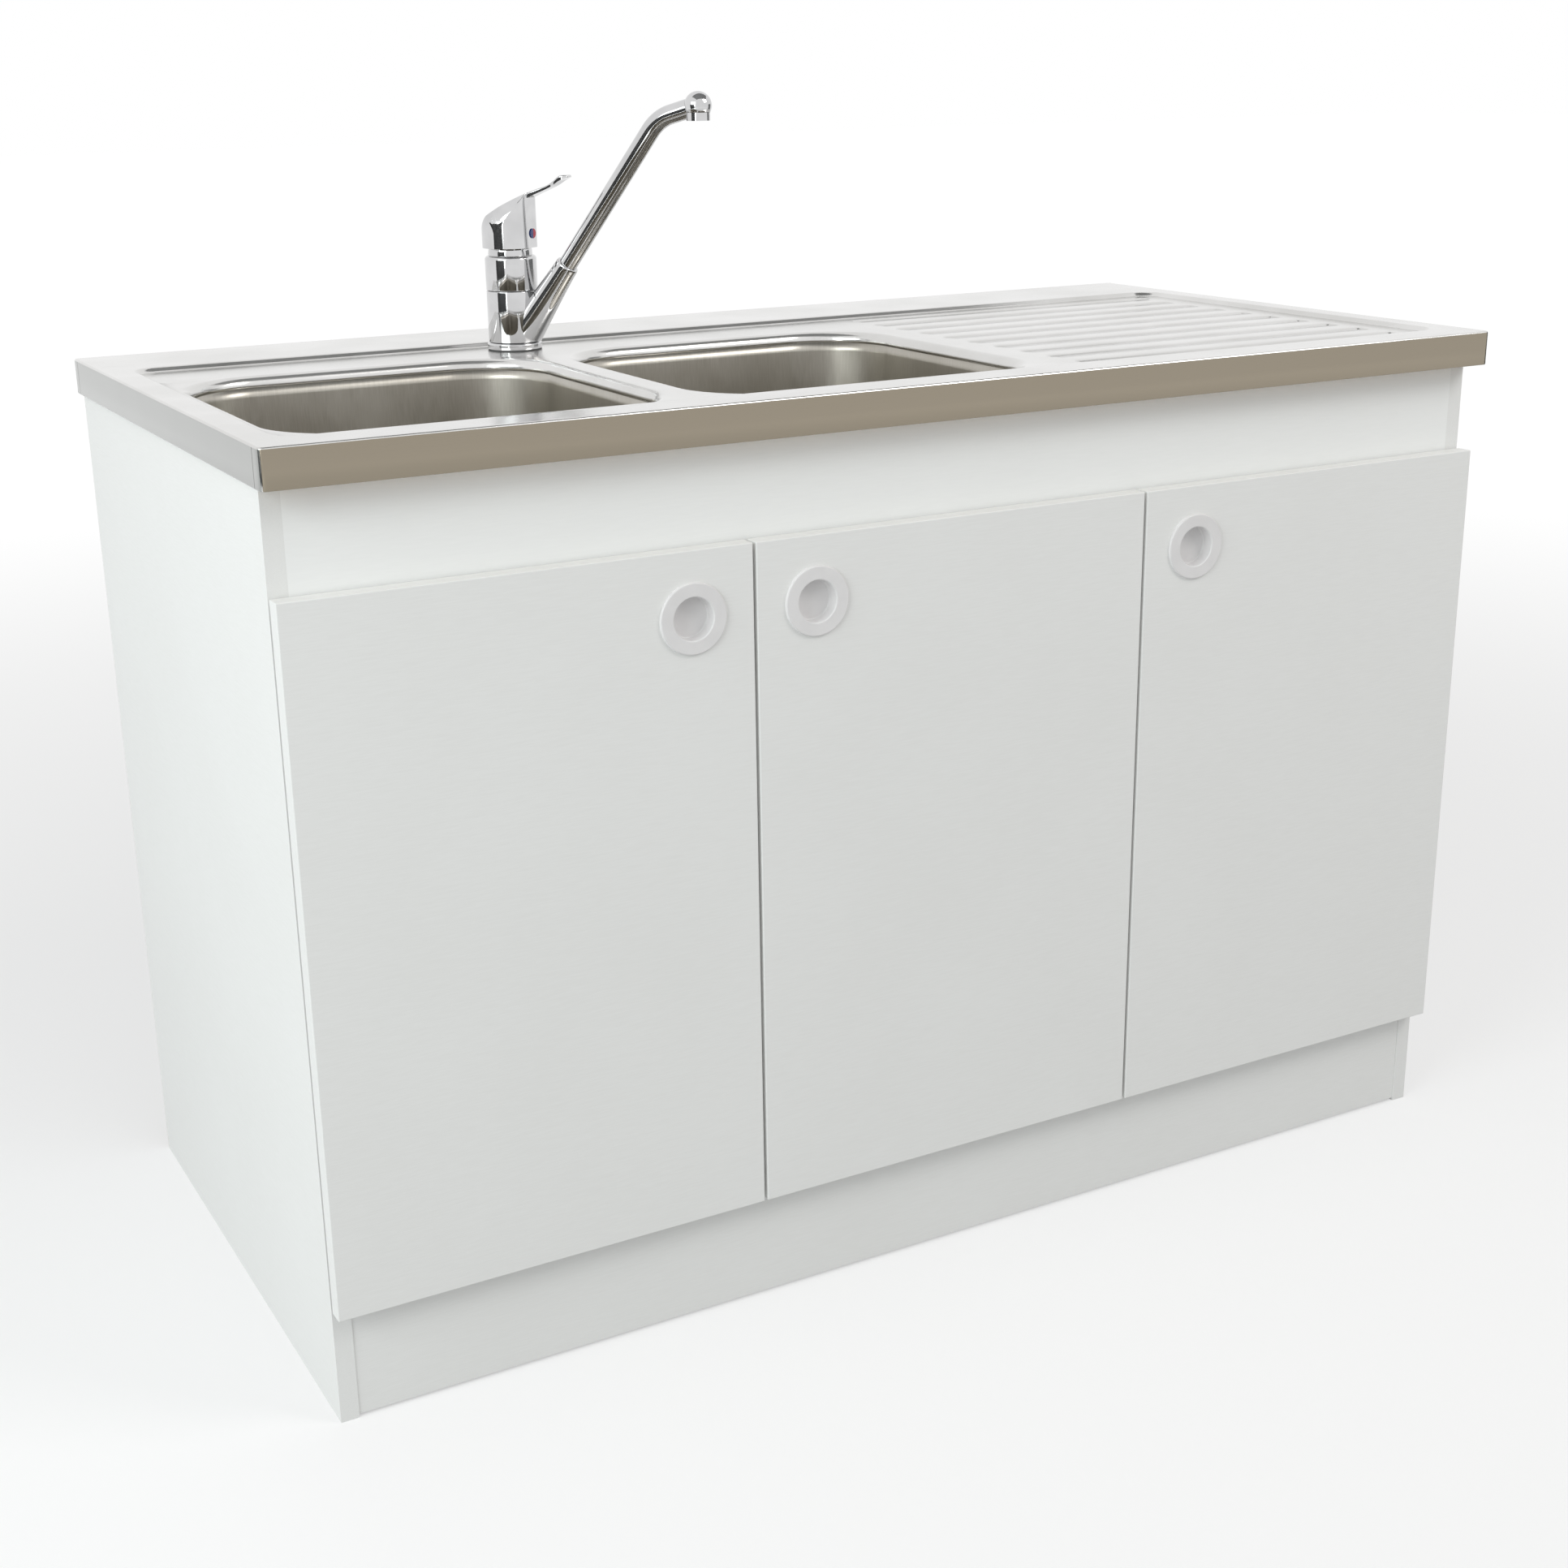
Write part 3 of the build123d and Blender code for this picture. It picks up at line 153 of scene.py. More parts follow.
# A dark cloth hangs at the left of the unit, a grey one at its right and a paler one over it. Only shiny
# pieces see them, as streaks.
for name, grey, corners in (
        ("left_cloth", 0.08,
         [(-2.45, 0.20, 0.0), (-1.80, -1.10, 0.0), (-1.80, -1.10, 1.3), (-2.45, 0.20, 1.3)]),
        ("right_cloth", 0.30,
         [(1.60, -0.70, 0.0), (1.75, 0.25, 0.0), (1.75, 0.25, 1.2), (1.60, -0.70, 1.2)]),
        ("upper_cloth", 0.55,
         [(-0.9, -0.95, 2.3), (1.4, -0.95, 2.3), (1.4, 0.40, 2.3), (-0.9, 0.40, 2.3)])):
    cloth = bpy.data.materials.new(name)
    cloth.use_nodes = True
    cloth.node_tree.nodes["Principled BSDF"].inputs["Base Color"].default_value = (grey, grey, grey, 1)
    cloth.node_tree.nodes["Principled BSDF"].inputs["Roughness"].default_value = 1.0
    hung_mesh = bpy.data.meshes.new(name)
    hung_mesh.from_pydata(corners, [], [(0, 1, 2, 3)])
    hung_mesh.materials.append(cloth)
    hung = bpy.data.objects.new(name, hung_mesh)
    bpy.context.collection.objects.link(hung)
    hung.visible_camera = hung.visible_diffuse = hung.visible_shadow = hung.visible_transmission = False


def lamp(name, spot, aim, size, watts, colour):
    """A soft square lamp at a spot, turned towards what it aims at."""
    light = bpy.data.lights.new(name, "AREA")
    light.size, light.energy, light.color = size, watts, colour
    held = bpy.data.objects.new(name, light)
    back = np.subtract(spot, aim) / np.linalg.norm(np.subtract(spot, aim))
    right = np.cross((0, 0, 1), back)
    right /= np.linalg.norm(right)
    held.matrix_world = Matrix(np.vstack([np.c_[right, np.cross(back, right), back, spot],
                                          (0, 0, 0, 1)]).tolist())
    bpy.context.collection.objects.link(held)


lamp("right_lamp", spot=(1.9, -2.2, 2.9), aim=(0, -0.1, 0.5), size=1.5, watts=36,
     colour=(1.0, 0.985, 0.96))
lamp("left_lamp", spot=(-3.0, -1.2, 1.6), aim=(-0.4, 0, 0.5), size=2.0, watts=54,
     colour=(0.94, 1.0, 1.0))

# The camera's place in metres, and its lens by the photograph's width and focal length in pixels.
eye, photo_width, focal_pixels, sensor = (-1.0241, -1.8370, 1.0751), 1932, 2706.3, 36
yaw, pitch, roll = radians(28.81), radians(18.23), radians(-0.84)
ahead = np.array([sin(yaw) * cos(pitch), cos(yaw) * cos(pitch), -sin(pitch)])
level = np.array([cos(yaw), -sin(yaw), 0])
upright = np.cross(level, ahead)
right = cos(roll) * level + sin(roll) * upright
up = cos(roll) * upright - sin(roll) * level
lens = bpy.data.cameras.new("camera")
lens.sensor_width, lens.lens = sensor, sensor * focal_pixels / photo_width
camera = bpy.data.objects.new("camera", lens)
camera.matrix_world = Matrix(np.vstack([np.c_[right, up, -ahead, eye], (0, 0, 0, 1)]).tolist())
bpy.context.collection.objects.link(camera)
bpy.context.scene.camera = camera
bpy.context.scene.view_settings.view_transform = "Standard"


# ---------------------------------------------------------------- cabinet boards
# Melamine-faced particle board, 16 mm, with a white edge strip on every edge that shows; the rear edges
# are left raw. The facing has a fine horizontal grain and a soft sheen.
def made_of(name, colour, roughness, relief=None, depth=0.0, **settled):
    """A finish. colour, roughness and relief each take the place on the piece and give a Shade or a value."""
    material = bpy.data.materials.new(name)
    material.use_nodes = True
    tree = material.node_tree
    shader = tree.nodes["Principled BSDF"]
    place = Shade(tree, tree.nodes.new("ShaderNodeTexCoord").outputs["Object"])
    tree.links.new(colour(place).socket, shader.inputs["Base Color"])
    tree.links.new(roughness(place).socket, shader.inputs["Roughness"])
    if relief:
        bump = place.node("ShaderNodeBump", {}, {"Height": relief(place), "Distance": depth})
        tree.links.new(bump.socket, shader.inputs["Normal"])
    for socket, value in settled.items():
        shader.inputs[socket.replace("_", " ")].default_value = value
    return material


def dress(material, *nodes):
    """Gives CAD nodes a finish."""
    for node in nodes:
        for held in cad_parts[node].material_slots:
            held.material = material


def chipboard(place, size):
    """Pressed wood chips in two browns, size metres across."""
    chips = place.grain(size, (1, 1, 1), 4.0).ramp(0.35, 0.65)
    return chips.tint((0.42, 0.28, 0.15, 1), (0.66, 0.50, 0.31, 1))


def melamine(name, drawn, low=(0.83, 0.833, 0.818, 1), high=(0.855, 0.86, 0.847, 1), raw_from=0.2949):
    """White facing with its grain drawn out along one axis, and raw board behind a depth."""
    def colour(place):
        facing = place.grain(0.0012, drawn, 3.0) * 0.6 + place.grain(0.15) * 0.4
        white = facing.ramp(0.3, 0.7).tint(low, high)
        return (place.along("Y") > raw_from).tint(white, chipboard(place, 0.0035))

    def roughness(place):
        return 0.36 + place.grain(0.002, drawn, 2.0) * 0.14 + (place.along("Y") > raw_from) * 0.4

    def relief(place):
        return place.grain(0.0011, drawn, 3.0)

    return made_of(name, colour, roughness, relief, 0.00003)


dress(melamine("white facing, grain across", (16, 16, 1)), "bottom_panel", "plinth", "shelf",
      "door_left", "door_middle", "door_right")
no_raw_board = 0.31  # behind the unit's back, which is at 0.300
# The fascia and rear rails get a lighter copy of the white facing: painted light that lifts the fascia out of
# the shade under the rim.
dress(melamine("white facing, painted light, grain across", (16, 16, 1), (0.905, 0.915, 0.905, 1),
               (0.925, 0.935, 0.925, 1), no_raw_board), "fascia", "rear_top_rail", "rear_bottom_rail")
dress(melamine("white facing, grain front to back", (1, 16, 1)), "left_side", "right_side", "divider")


# ---------------------------------------------------------------- sink top
# One sheet of 0.8 mm stainless steel: a flat border, a recess pressed 4 mm into it, ten long pressed
# channels in the drainer, two mouths rolled down to the bowls and a 32 mm rim folded down all round.
deck, border, weld = 0.816, 0.820, 0.806
core = np.array([0.0905, 0.103])
bowls = {"bowl_left": (-0.396, -0.071), "bowl_right": (-0.036, -0.071)}
channels = np.linspace(-0.230, 0.160, 10)


def climb(part):
    """Smooth step: three part squared less two part cubed, for a part held between 0 and 1."""
    part = np.clip(part, 0, 1)
    return part * part * (3 - 2 * part)


def lines(*spans):
    """Grid lines: each span from a to b is cut into even steps of about its pitch."""
    cuts = [np.linspace(a, b, max(2, round((b - a) / pitch) + 1)) for a, b, pitch in spans]
    return np.unique(np.round(np.concatenate(cuts), 6))


recess_y, recess_core, recess_round, recess_depth = -0.035, np.array([0.550, 0.201]), 0.0245, 0.004
channel_x, channel_half, channel_round, channel_depth = 0.355, 0.184, 0.0068, 0.0025
step_width = 0.0045


def pressed(x, y):
    """Height of the sheet: the border, less 4 mm within the recess's rounded rectangle, less 2.5 mm in
    each channel, by the distance to the channel's middle line; every step is a smooth one 4.5 mm wide."""
    away = np.maximum(np.abs([x, y - recess_y]) - recess_core[:, None, None], 0)
    height = border - recess_depth * climb((recess_round - np.hypot(*away)) / step_width)
    for middle in channels:
        off = np.hypot(np.maximum(np.abs(x - channel_x) - channel_half, 0), y - middle)
        height = height - channel_depth * climb((channel_round - off) / step_width)
    return height


def outline(xs, ys):
    """The rectangle round a block of grid lines, counter-clockwise and closed."""
    return np.concatenate([np.c_[xs, ys[0] + 0 * xs], np.c_[xs[-1] + 0 * ys[1:], ys[1:]],
                           np.c_[xs[-2::-1], ys[-1] + 0 * xs[1:]], np.c_[xs[0] + 0 * ys[1:], ys[-2::-1]]])


def carried(round_line, centre, inner, profile):
    """A profile of (distance out from the inner rectangle, height) carried round it. Each point of the
    line is held to the inner rectangle, and the way from there back to the point is the way out."""
    held = np.clip(round_line - centre, -inner, inner)
    out = round_line - centre - held
    out = out / np.linalg.norm(out, axis=1, keepdims=True)
    ways = [np.c_[centre + held + reach * out, np.full(len(out), height)] for reach, height in profile]
    return np.stack(ways)


def piece(name, sheets, material, body, stands_for=(), sharp=35):
    """A piece from sheets of points, rows by columns by xyz. Neighbouring points make four-sided faces,
    except beside a missing point, and points that meet are joined."""
    points, faces, start = [], [], 0
    for sheet in sheets:
        rows, columns = sheet.shape[:2]
        index = start + np.arange(rows * columns).reshape(rows, columns)
        quads = np.stack([index[:-1, :-1], index[:-1, 1:], index[1:, 1:], index[1:, :-1]], axis=-1)
        faces.append(quads.reshape(-1, 4))
        points.append(sheet.reshape(-1, 3))
        start += rows * columns
    points, faces = np.concatenate(points), np.concatenate(faces)
    faces = faces[~np.isnan(points[faces]).any(axis=(1, 2))]
    kept, faces = np.unique(faces, return_inverse=True)
    mesh = bpy.data.meshes.new(name)
    mesh.from_pydata(points[kept].tolist(), [], faces.reshape(-1, 4).tolist())
    seal = bmesh.new()
    seal.from_mesh(mesh)
    bmesh.ops.remove_doubles(seal, verts=seal.verts, dist=2e-6)
    bmesh.ops.dissolve_degenerate(seal, edges=seal.edges, dist=1e-6)
    seal.to_mesh(mesh)
    seal.free()
    mesh.shade_smooth()
    mesh.set_sharp_from_angle(angle=radians(sharp))
    mesh.materials.append(material)
    made = bpy.data.objects.new(name, mesh)
    bpy.context.collection.objects.link(made)
    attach(made, body)
    if stands_for:
        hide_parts(*stands_for)
    return made


def brushed(name, drawn, low, high, smooth, rough, edge=None):
    """Stainless steel with fine scratches drawn out along the way it was rolled or polished. An edge
    takes the place and the colour so far, and gives the colour with the folded edges coloured in."""
    def colour(place):
        cloud = place.grain(0.09, (1, 1, 1), 3.0)
        fine = place.grain(0.0010, drawn, 2.0)
        sheen = (cloud * 0.7 + fine * 0.3).ramp(0.3, 0.7).tint(low, high)
        return edge(place, sheen) if edge else sheen

    def roughness(place):
        return smooth + place.grain(0.0010, drawn, 3.0) * (rough - smooth) + place.grain(0.05) * 0.05

    def relief(place):
        return place.grain(0.0010, drawn, 2.0)

    return made_of(name, colour, roughness, relief, 0.000006, Metallic=1.0)


def sheet_thick(made, thickness=0.0008):
    """Gives the sheet its 0.8 mm, away from the side that shows."""
    wall = made.modifiers.new("sheet", "SOLIDIFY")
    wall.thickness, wall.offset = thickness, -1


grid_x = lines((-0.597, -0.595, 0.0005), (-0.595, -0.575, 0.005), (-0.575, -0.569, 0.001),
               (-0.569, -0.545, 0.0011), (-0.545, -0.485, 0.0035), (-0.485, -0.305, 0.015),
               (-0.305, -0.222, 0.0035), (-0.222, -0.210, 0.004), (-0.210, -0.125, 0.0035),
               (-0.125, 0.055, 0.015), (0.055, 0.138, 0.0035), (0.138, 0.164, 0.005),
               (0.164, 0.178, 0.001), (0.178, 0.532, 0.020), (0.532, 0.546, 0.001), (0.546, 0.575, 0.0011),
               (0.575, 0.595, 0.005), (0.595, 0.597, 0.0005))
spans_y = [(-0.297, -0.295, 0.0005), (-0.295, -0.261, 0.006), (-0.261, -0.2552, 0.001),
           (-0.2552, -0.237, 0.0011), (0.167, 0.191, 0.0011), (0.191, 0.295, 0.008), (0.295, 0.297, 0.0005)]
spans_y += [(middle - 0.007, middle + 0.007, 0.0017) for middle in channels]
spans_y += [(low + 0.007, high - 0.007, 0.0100) for low, high in zip(channels[:-1], channels[1:])]
grid_y = lines(*spans_y)


fold_top, end_fold, front_fold, seam_at, seam_half = 0.8185, 0.5988, 0.2988, 0.2845, 0.0006
# The rim's front, back and end colours are painted shade on the same steel; the dark seam is a real joint.
front_painted_shade, end_painted_shade, dark = (0.31, 0.272, 0.212, 1), (0.42, 0.43, 0.42, 1), (0.05, 0.05, 0.045, 1)


def folded(place, sheen):
    """The folded rim is painted darker than the sheet, as painted shade: brown-grey along the front and back,
    plain grey at the ends, with a dark seam where each end's lap was welded 15 mm from the corner."""
    low = place.along("Z") < fold_top
    end = (abs(place.along("X")) > end_fold) * low
    face = (abs(place.along("Y")) > front_fold) * low
    seam = (abs(abs(place.along("Y")) - seam_at) < seam_half) * end
    return seam.tint(end.tint(face.tint(sheen, front_painted_shade), end_painted_shade), dark)


steel_top = brushed("rolled steel, brushed along", (140, 1, 1), (0.64, 0.635, 0.62, 1),
                    (0.74, 0.735, 0.725, 1), 0.12, 0.22, folded)
# The bowls' steel is painted darker and browner than the top's: painted shade inside the bowls.
shaded_bowl_steel = brushed("drawn steel, satin, with painted shade", (1, 1, 60), (0.40, 0.375, 0.33, 1), (0.52, 0.50, 0.455, 1),
                     0.24, 0.38)

field_x, field_y = np.meshgrid(grid_x, grid_y)
field = np.stack([field_x, field_y, pressed(field_x, field_y)], axis=-1)
top_sheets = [field]
mouth_half, mouth_front, mouth_back = 0.174, -0.2552, 0.1135
roll_start, roll_radius, wall_top = 0.080, 0.008, 0.072
roll = [(roll_start - roll_radius * sin(turn), deck - roll_radius + roll_radius * cos(turn))
        for turn in np.linspace(0, pi / 2, 9)] + [(wall_top, weld)]
mouth_lines = {}
for name, centre in bowls.items():
    low_x, high_x = centre[0] - mouth_half, centre[0] + mouth_half
    first, last = np.abs(grid_x - low_x).argmin(), np.abs(grid_x - high_x).argmin()
    lower, upper = np.abs(grid_y - mouth_front).argmin(), np.abs(grid_y - mouth_back).argmin()
    field[lower + 1:upper, first + 1:last] = np.nan
    mouth_lines[name] = outline(grid_x[first:last + 1], grid_y[lower:upper + 1])
    edge = np.c_[mouth_lines[name], np.full(len(mouth_lines[name]), deck)]
    top_sheets.append(np.concatenate([edge[None], carried(mouth_lines[name], centre, core, roll)]))

fold = [(0.003, border)] + [(0.003 + 0.002 * sin(turn), border - 0.002 + 0.002 * cos(turn))
                            for turn in np.linspace(0.2, pi / 2, 7)]
fold += [(0.005, 0.803), (0.005, 0.7888), (0.0047, 0.7882), (0.0042, 0.788)]
rim_line = outline(grid_x, grid_y)[::-1]
edge = np.c_[rim_line, np.full(len(rim_line), border)]
top_sheets.append(np.concatenate([edge[None], carried(rim_line, (0, 0), np.array([0.595, 0.295]), fold)]))
sink_top = piece("sink_top_sheet", top_sheets, steel_top, "cabinet", ["sink_top"], sharp=50)
sheet_thick(sink_top)

# ---------------------------------------------------------------- bowls
# Two bowls deep-drawn from 0.8 mm stainless steel, with walls that draw in by 3 degrees, a wide round
# into the floor and a shallow seat for the strainer; each is welded under its mouth and ground flush.
draft, heel_radius, heel_height = np.tan(radians(3)), 0.032, 0.698
wall = [(wall_top - (weld - height) * draft, height) for height in np.linspace(weld, 0.700, 14)]
heel_middle = wall[-1][0] - heel_radius
heel = [(heel_middle + heel_radius * cos(turn), heel_height - heel_radius * sin(turn))
        for turn in np.linspace(radians(4), pi / 2, 14)]
# The floor falls to the seat's edge in rings of (part of the way, height), and the seat's own rings are
# (radius, height) down to the hole.
seat_edge = 0.0605
floor_rings = ((0.2, 0.66595), (0.4, 0.6658), (0.6, 0.6656), (0.8, 0.6653), (1, 0.665))
seat_rings = ((0.0592, 0.6645), (0.0585, 0.6635), (0.058, 0.663), (0.050, 0.663), (0.043, 0.663))
for name, centre in bowls.items():
    sides = carried(mouth_lines[name], centre, core, wall + heel)
    foot = sides[-1, :, :2] - centre
    seat_way = foot / np.linalg.norm(foot, axis=1, keepdims=True)
    rings = [sides]
    for part, height in floor_rings:
        ring = centre + foot * (1 - part) + seat_edge * seat_way * part
        rings.append(np.c_[ring, np.full(len(ring), height)][None])
    for reach, height in seat_rings:
        rings.append(np.c_[centre + reach * seat_way, np.full(len(foot), height)][None])
    bowl = piece(f"{name}_shell", [np.concatenate(rings)], shaded_bowl_steel, "cabinet", [name])
    sheet_thick(bowl)

# ---------------------------------------------------------------- wood and brackets under the sink
# Softwood battens glued inside the rim stiffen the sheet and carry it on the sides; a chipboard panel
# backs the drainer. Three zinc-plated angles hold the rear batten to the rear rail.
dress(made_of("sawn softwood",
              lambda place: (place.grain(0.004, (30, 1, 1), 3.0) * 0.7 + place.grain(0.03, (8, 1, 1)) * 0.3)
              .ramp(0.3, 0.7).tint((0.50, 0.33, 0.17, 1), (0.74, 0.56, 0.35, 1)),
              lambda place: 0.62 + place.grain(0.002, (20, 1, 1)) * 0.2,
              lambda place: place.grain(0.0015, (30, 1, 1), 3.0), 0.0002), "sink_frame")
dress(made_of("plain chipboard",
              lambda place: chipboard(place, 0.004),
              lambda place: 0.7 + place.grain(0.004) * 0.2,
              lambda place: place.grain(0.003, (1, 1, 1), 4.0), 0.0003), "drainer_board")


def plated(name, low, high, smooth, rough):
    """Pressed steel under a thin plating, with a cloudy finish."""
    return made_of(name, lambda place: place.grain(0.012, (1, 1, 1), 3.0).ramp(0.3, 0.7).tint(low, high),
                   lambda place: smooth + place.grain(0.006, (1, 1, 1), 3.0) * (rough - smooth),
                   lambda place: place.grain(0.0012, (1, 1, 1), 2.0), 0.00002, Metallic=1.0)


zinc = plated("zinc plating", (0.50, 0.51, 0.50, 1), (0.66, 0.66, 0.63, 1), 0.30, 0.50)
dress(zinc, "sink_brackets", "cam_fittings", "shelf_pins", "tap_stiffener", "tap_horseshoe")


def screw_head(spot, axis, radius):
    """A pan head with a cross recess: a square grid drawn to a disc, as high as a flat dome less a
    cross-shaped pit, with a skirt down to the plate."""
    steps = np.array([-1, -0.92, -0.75, -0.55, -0.46, -0.18, -0.1, 0.1, 0.18, 0.46, 0.55, 0.75, 0.92, 1])
    u, v = np.meshgrid(steps, steps)
    x, y = u * np.sqrt(1 - v * v / 2), v * np.sqrt(1 - u * u / 2)
    off = np.hypot(x, y)
    pit = (np.minimum(np.abs(u), np.abs(v)) < 0.15) & (np.maximum(np.abs(u), np.abs(v)) < 0.5)
    z = 0.62 * np.sqrt(np.maximum(1 - 0.75 * off ** 2, 0)) - 0.40 * pit
    top = np.stack([x, y, z], axis=-1) * radius
    brim = np.concatenate([top[0, :-1], top[:-1, -1], top[-1, :0:-1], top[::-1, 0]])
    foot = brim.copy()
    foot[:, 2] = 0
    axis = np.array(axis, float)
    side = np.cross(axis, (0, 0, 1) if abs(axis[2]) < 0.9 else (1, 0, 0))
    turn = np.stack([side, np.cross(axis, side), axis])
    return [sheet @ turn + np.array(spot) for sheet in (top, np.stack([foot, brim]))]


# Each angle has two screws into the rail behind it and one up into the batten.
wood_screw, heads = 0.0036, []
for x in (-0.4, 0.0, 0.4):
    for shift in (-0.011, 0.011):
        heads += screw_head((x + shift, 0.277, 0.772), (0, -1, 0), wood_screw)
    heads += screw_head((x, 0.262, 0.788), (0, 0, -1), wood_screw)
piece("bracket_screws", heads, zinc, "cabinet")

# ---------------------------------------------------------------- doors, pulls and hinges
# Flat doors hang on nickel-plated cup hinges, two a door. Each pull is a moulded cup with a wide flat
# flange, pushed into a round hole near the free upper corner; soft buffers meet the cabinet's edge.
satin = made_of("satin moulded pull",
                lambda place: place.grain(0.02, (1, 1, 1), 3.0).ramp(0.3, 0.7)
                .tint((0.765, 0.755, 0.755, 1), (0.80, 0.79, 0.79, 1)),
                lambda place: 0.36 + place.grain(0.004) * 0.12,
                lambda place: place.grain(0.0008, (1, 1, 1), 2.0), 0.00003)
nickel = plated("nickel plating", (0.58, 0.57, 0.54, 1), (0.72, 0.71, 0.68, 1), 0.18, 0.34)
clear_buffer = made_of("soft clear buffer",
                       lambda place: place.grain(0.002).tint((0.74, 0.74, 0.70, 1), (0.84, 0.84, 0.81, 1)),
                       lambda place: 0.35 + place.grain(0.001) * 0.2, None, 0.0, Transmission_Weight=0.3)
dress(nickel, "hinge_arms", "hinge_plates")
# For each door: its hinged edge, the way from there into the opening, and the face the plates sit on.
door_edges = {"left": (-0.595, 1, -0.579), "middle": (0.1973, -1, 0.1908), "right": (0.595, -1, 0.579)}
hinge_heights, cup_rim_y, cup_shift, plate_y, plate_shift = (0.206, 0.605), -0.276, 0.0245, -0.235, 0.017
plate_screw, arm_screw = 0.0034, 0.0030
carcass_heads = []
for side, (hinge_edge, into, face) in door_edges.items():
    dress(satin, f"pull_{side}")
    dress(nickel, f"hinge_cups_{side}", f"hinge_pins_{side}")
    dress(clear_buffer, f"door_buffers_{side}")
    heads = []
    for height in hinge_heights:
        for shift in (-cup_shift, cup_shift):
            spot = (hinge_edge + into * 0.021, cup_rim_y, height + shift)
            heads += screw_head(spot, (0, 1, 0), wood_screw)
        for shift in (-plate_shift, plate_shift):
            spot = (face + into * 0.0016, plate_y, height + shift)
            carcass_heads += screw_head(spot, (into, 0, 0), plate_screw)
        carcass_heads += screw_head((face + into * 0.0054, -0.228, height), (into, 0, 0), arm_screw)
    piece(f"cup_screws_{side}", heads, nickel, f"door_{side}")
piece("plate_screws", carcass_heads, nickel, "cabinet")

# ---------------------------------------------------------------- wastes and trap
# Polished steel strainer pots with lift-out baskets clamp the rubber seals and the white moulded waste
# bodies to the bowls; push-fit pipes with slip nuts lead to a bottle trap.
polished = brushed("polished steel", (1, 1, 1), (0.62, 0.61, 0.59, 1), (0.72, 0.71, 0.69, 1), 0.10, 0.22)
dress(polished, "strainer_pots", "basket_left", "basket_right")
moulded = made_of("white moulded plastic",
                  lambda place: place.grain(0.03, (1, 1, 1), 3.0).ramp(0.3, 0.7)
                  .tint((0.76, 0.76, 0.74, 1), (0.83, 0.83, 0.81, 1)),
                  lambda place: 0.32 + place.grain(0.01) * 0.16,
                  lambda place: place.grain(0.0012), 0.00004)
dress(moulded, "waste_bodies", "cross_pipe", "waste_tee", "trap_body", "trap_cup", "outlet_pipe", "slip_nuts")
rubber = made_of("grey rubber",
                 lambda place: place.grain(0.004).tint((0.05, 0.05, 0.05, 1), (0.09, 0.09, 0.09, 1)),
                 lambda place: 0.6 + place.grain(0.002) * 0.2,
                 lambda place: place.grain(0.0008), 0.00005)
dress(rubber, "waste_seals", "tap_gasket")


# ---------------------------------------------------------------- tap body
# A chromed brass body stands on the deck behind and between the bowls: a flange, a waist that the
# spout's sleeve turns on, and a drum with a rounded shoulder that holds the mixing cartridge.
foot = np.array([-0.216, 0.155, 0.816])
forth = np.array([cos(radians(-52)), sin(radians(-52)), 0])
aside = np.array([-forth[1], forth[0], 0])


def at_tap(along, across, height):
    """Places along the spout, across it and above the deck, in millimetres, as points in metres: the
    foot, plus each distance times its own direction."""
    return foot + (np.multiply.outer(along, forth) + np.multiply.outer(across, aside)
                   + np.multiply.outer(height, (0, 0, 1))) / 1000


def turned(profile, along=0.0, steps=96):
    """A profile of (radius, height) turned round an upright axis, from its foot up its outside."""
    radius, height = np.array(profile, float).T
    angle = np.append(np.linspace(0, 2 * pi, steps, endpoint=False), 0)
    return at_tap(along + np.outer(radius, np.cos(angle)), np.outer(radius, np.sin(angle)),
                  np.outer(height, np.ones_like(angle)))


def bend(middle, radius, start, end, steps=7):
    """Points of an arc in a profile, by its start and end angles in degrees."""
    angle = np.radians(np.linspace(start, end, steps))
    return list(zip(middle[0] + radius * np.cos(angle), middle[1] + radius * np.sin(angle)))


chrome = made_of("polished chrome",
                 lambda place: place.grain(0.02, (1, 1, 1), 2.0).ramp(0.3, 0.7)
                 .tint((0.60, 0.60, 0.605, 1), (0.66, 0.66, 0.665, 1)),
                 lambda place: 0.04 + place.grain(0.01) * 0.02,
                 lambda place: place.grain(0.010), 0.000004, Metallic=1.0)
drum = ([(0, 1.2)] + bend((25.6, 1.6), 0.4, -90, 0, 3) + bend((24, 5.2), 2, 0, 90)
        + [(17.9, 7.2), (17.9, 55.7)] + bend((23.6, 56.6), 0.9, -90, 0, 5) + bend((20.5, 84), 4, 0, 90, 10)
        + [(20.0, 88), (19.9, 80), (0, 80)])
piece("tap_drum", [turned(drum)], chrome, "cabinet", ["tap_body"])
pivot_height, crown_outside, crown_inside = 89, 21, 18.8
crown = ([(17.65, 80)] + bend((19.6, 80.25), 0.25, -90, 0, 3) + [(19.85, 87.95)]
         + bend((0, pivot_height), crown_outside, -2.7, 54.1, 13)
         + bend((0, pivot_height), crown_inside, 49.1, -3, 10) + [(17.65, 80)])
piece("tap_ring", [turned(crown)], chrome, "cabinet", ["tap_crown"])

# ---------------------------------------------------------------- tap lever
# The lever is one zinc casting, chromed: a round cap over the drum whose top sweeps up from the back
# into a thin blade with a thumb rest at its tip. A red and blue button marks hot and cold in front.


def swept(points, count=400):
    """A smooth line through points: between two of them, the cubic whose slopes are half the step
    between the neighbours on either side."""
    points = np.array(points, float)
    ends = np.vstack([2 * points[0] - points[1], points, 2 * points[-1] - points[-2]])
    span, part = np.divmod(np.linspace(0, len(points) - 1 - 1e-9, count), 1)
    span, part = span.astype(int), part[:, None]
    before, a, b, after = (ends[span + shift] for shift in range(4))
    return 0.5 * (2 * a + (b - before) * part + (2 * before - 5 * a + 4 * b - after) * part ** 2
                  + (3 * a - before - 3 * b + after) * part ** 3)


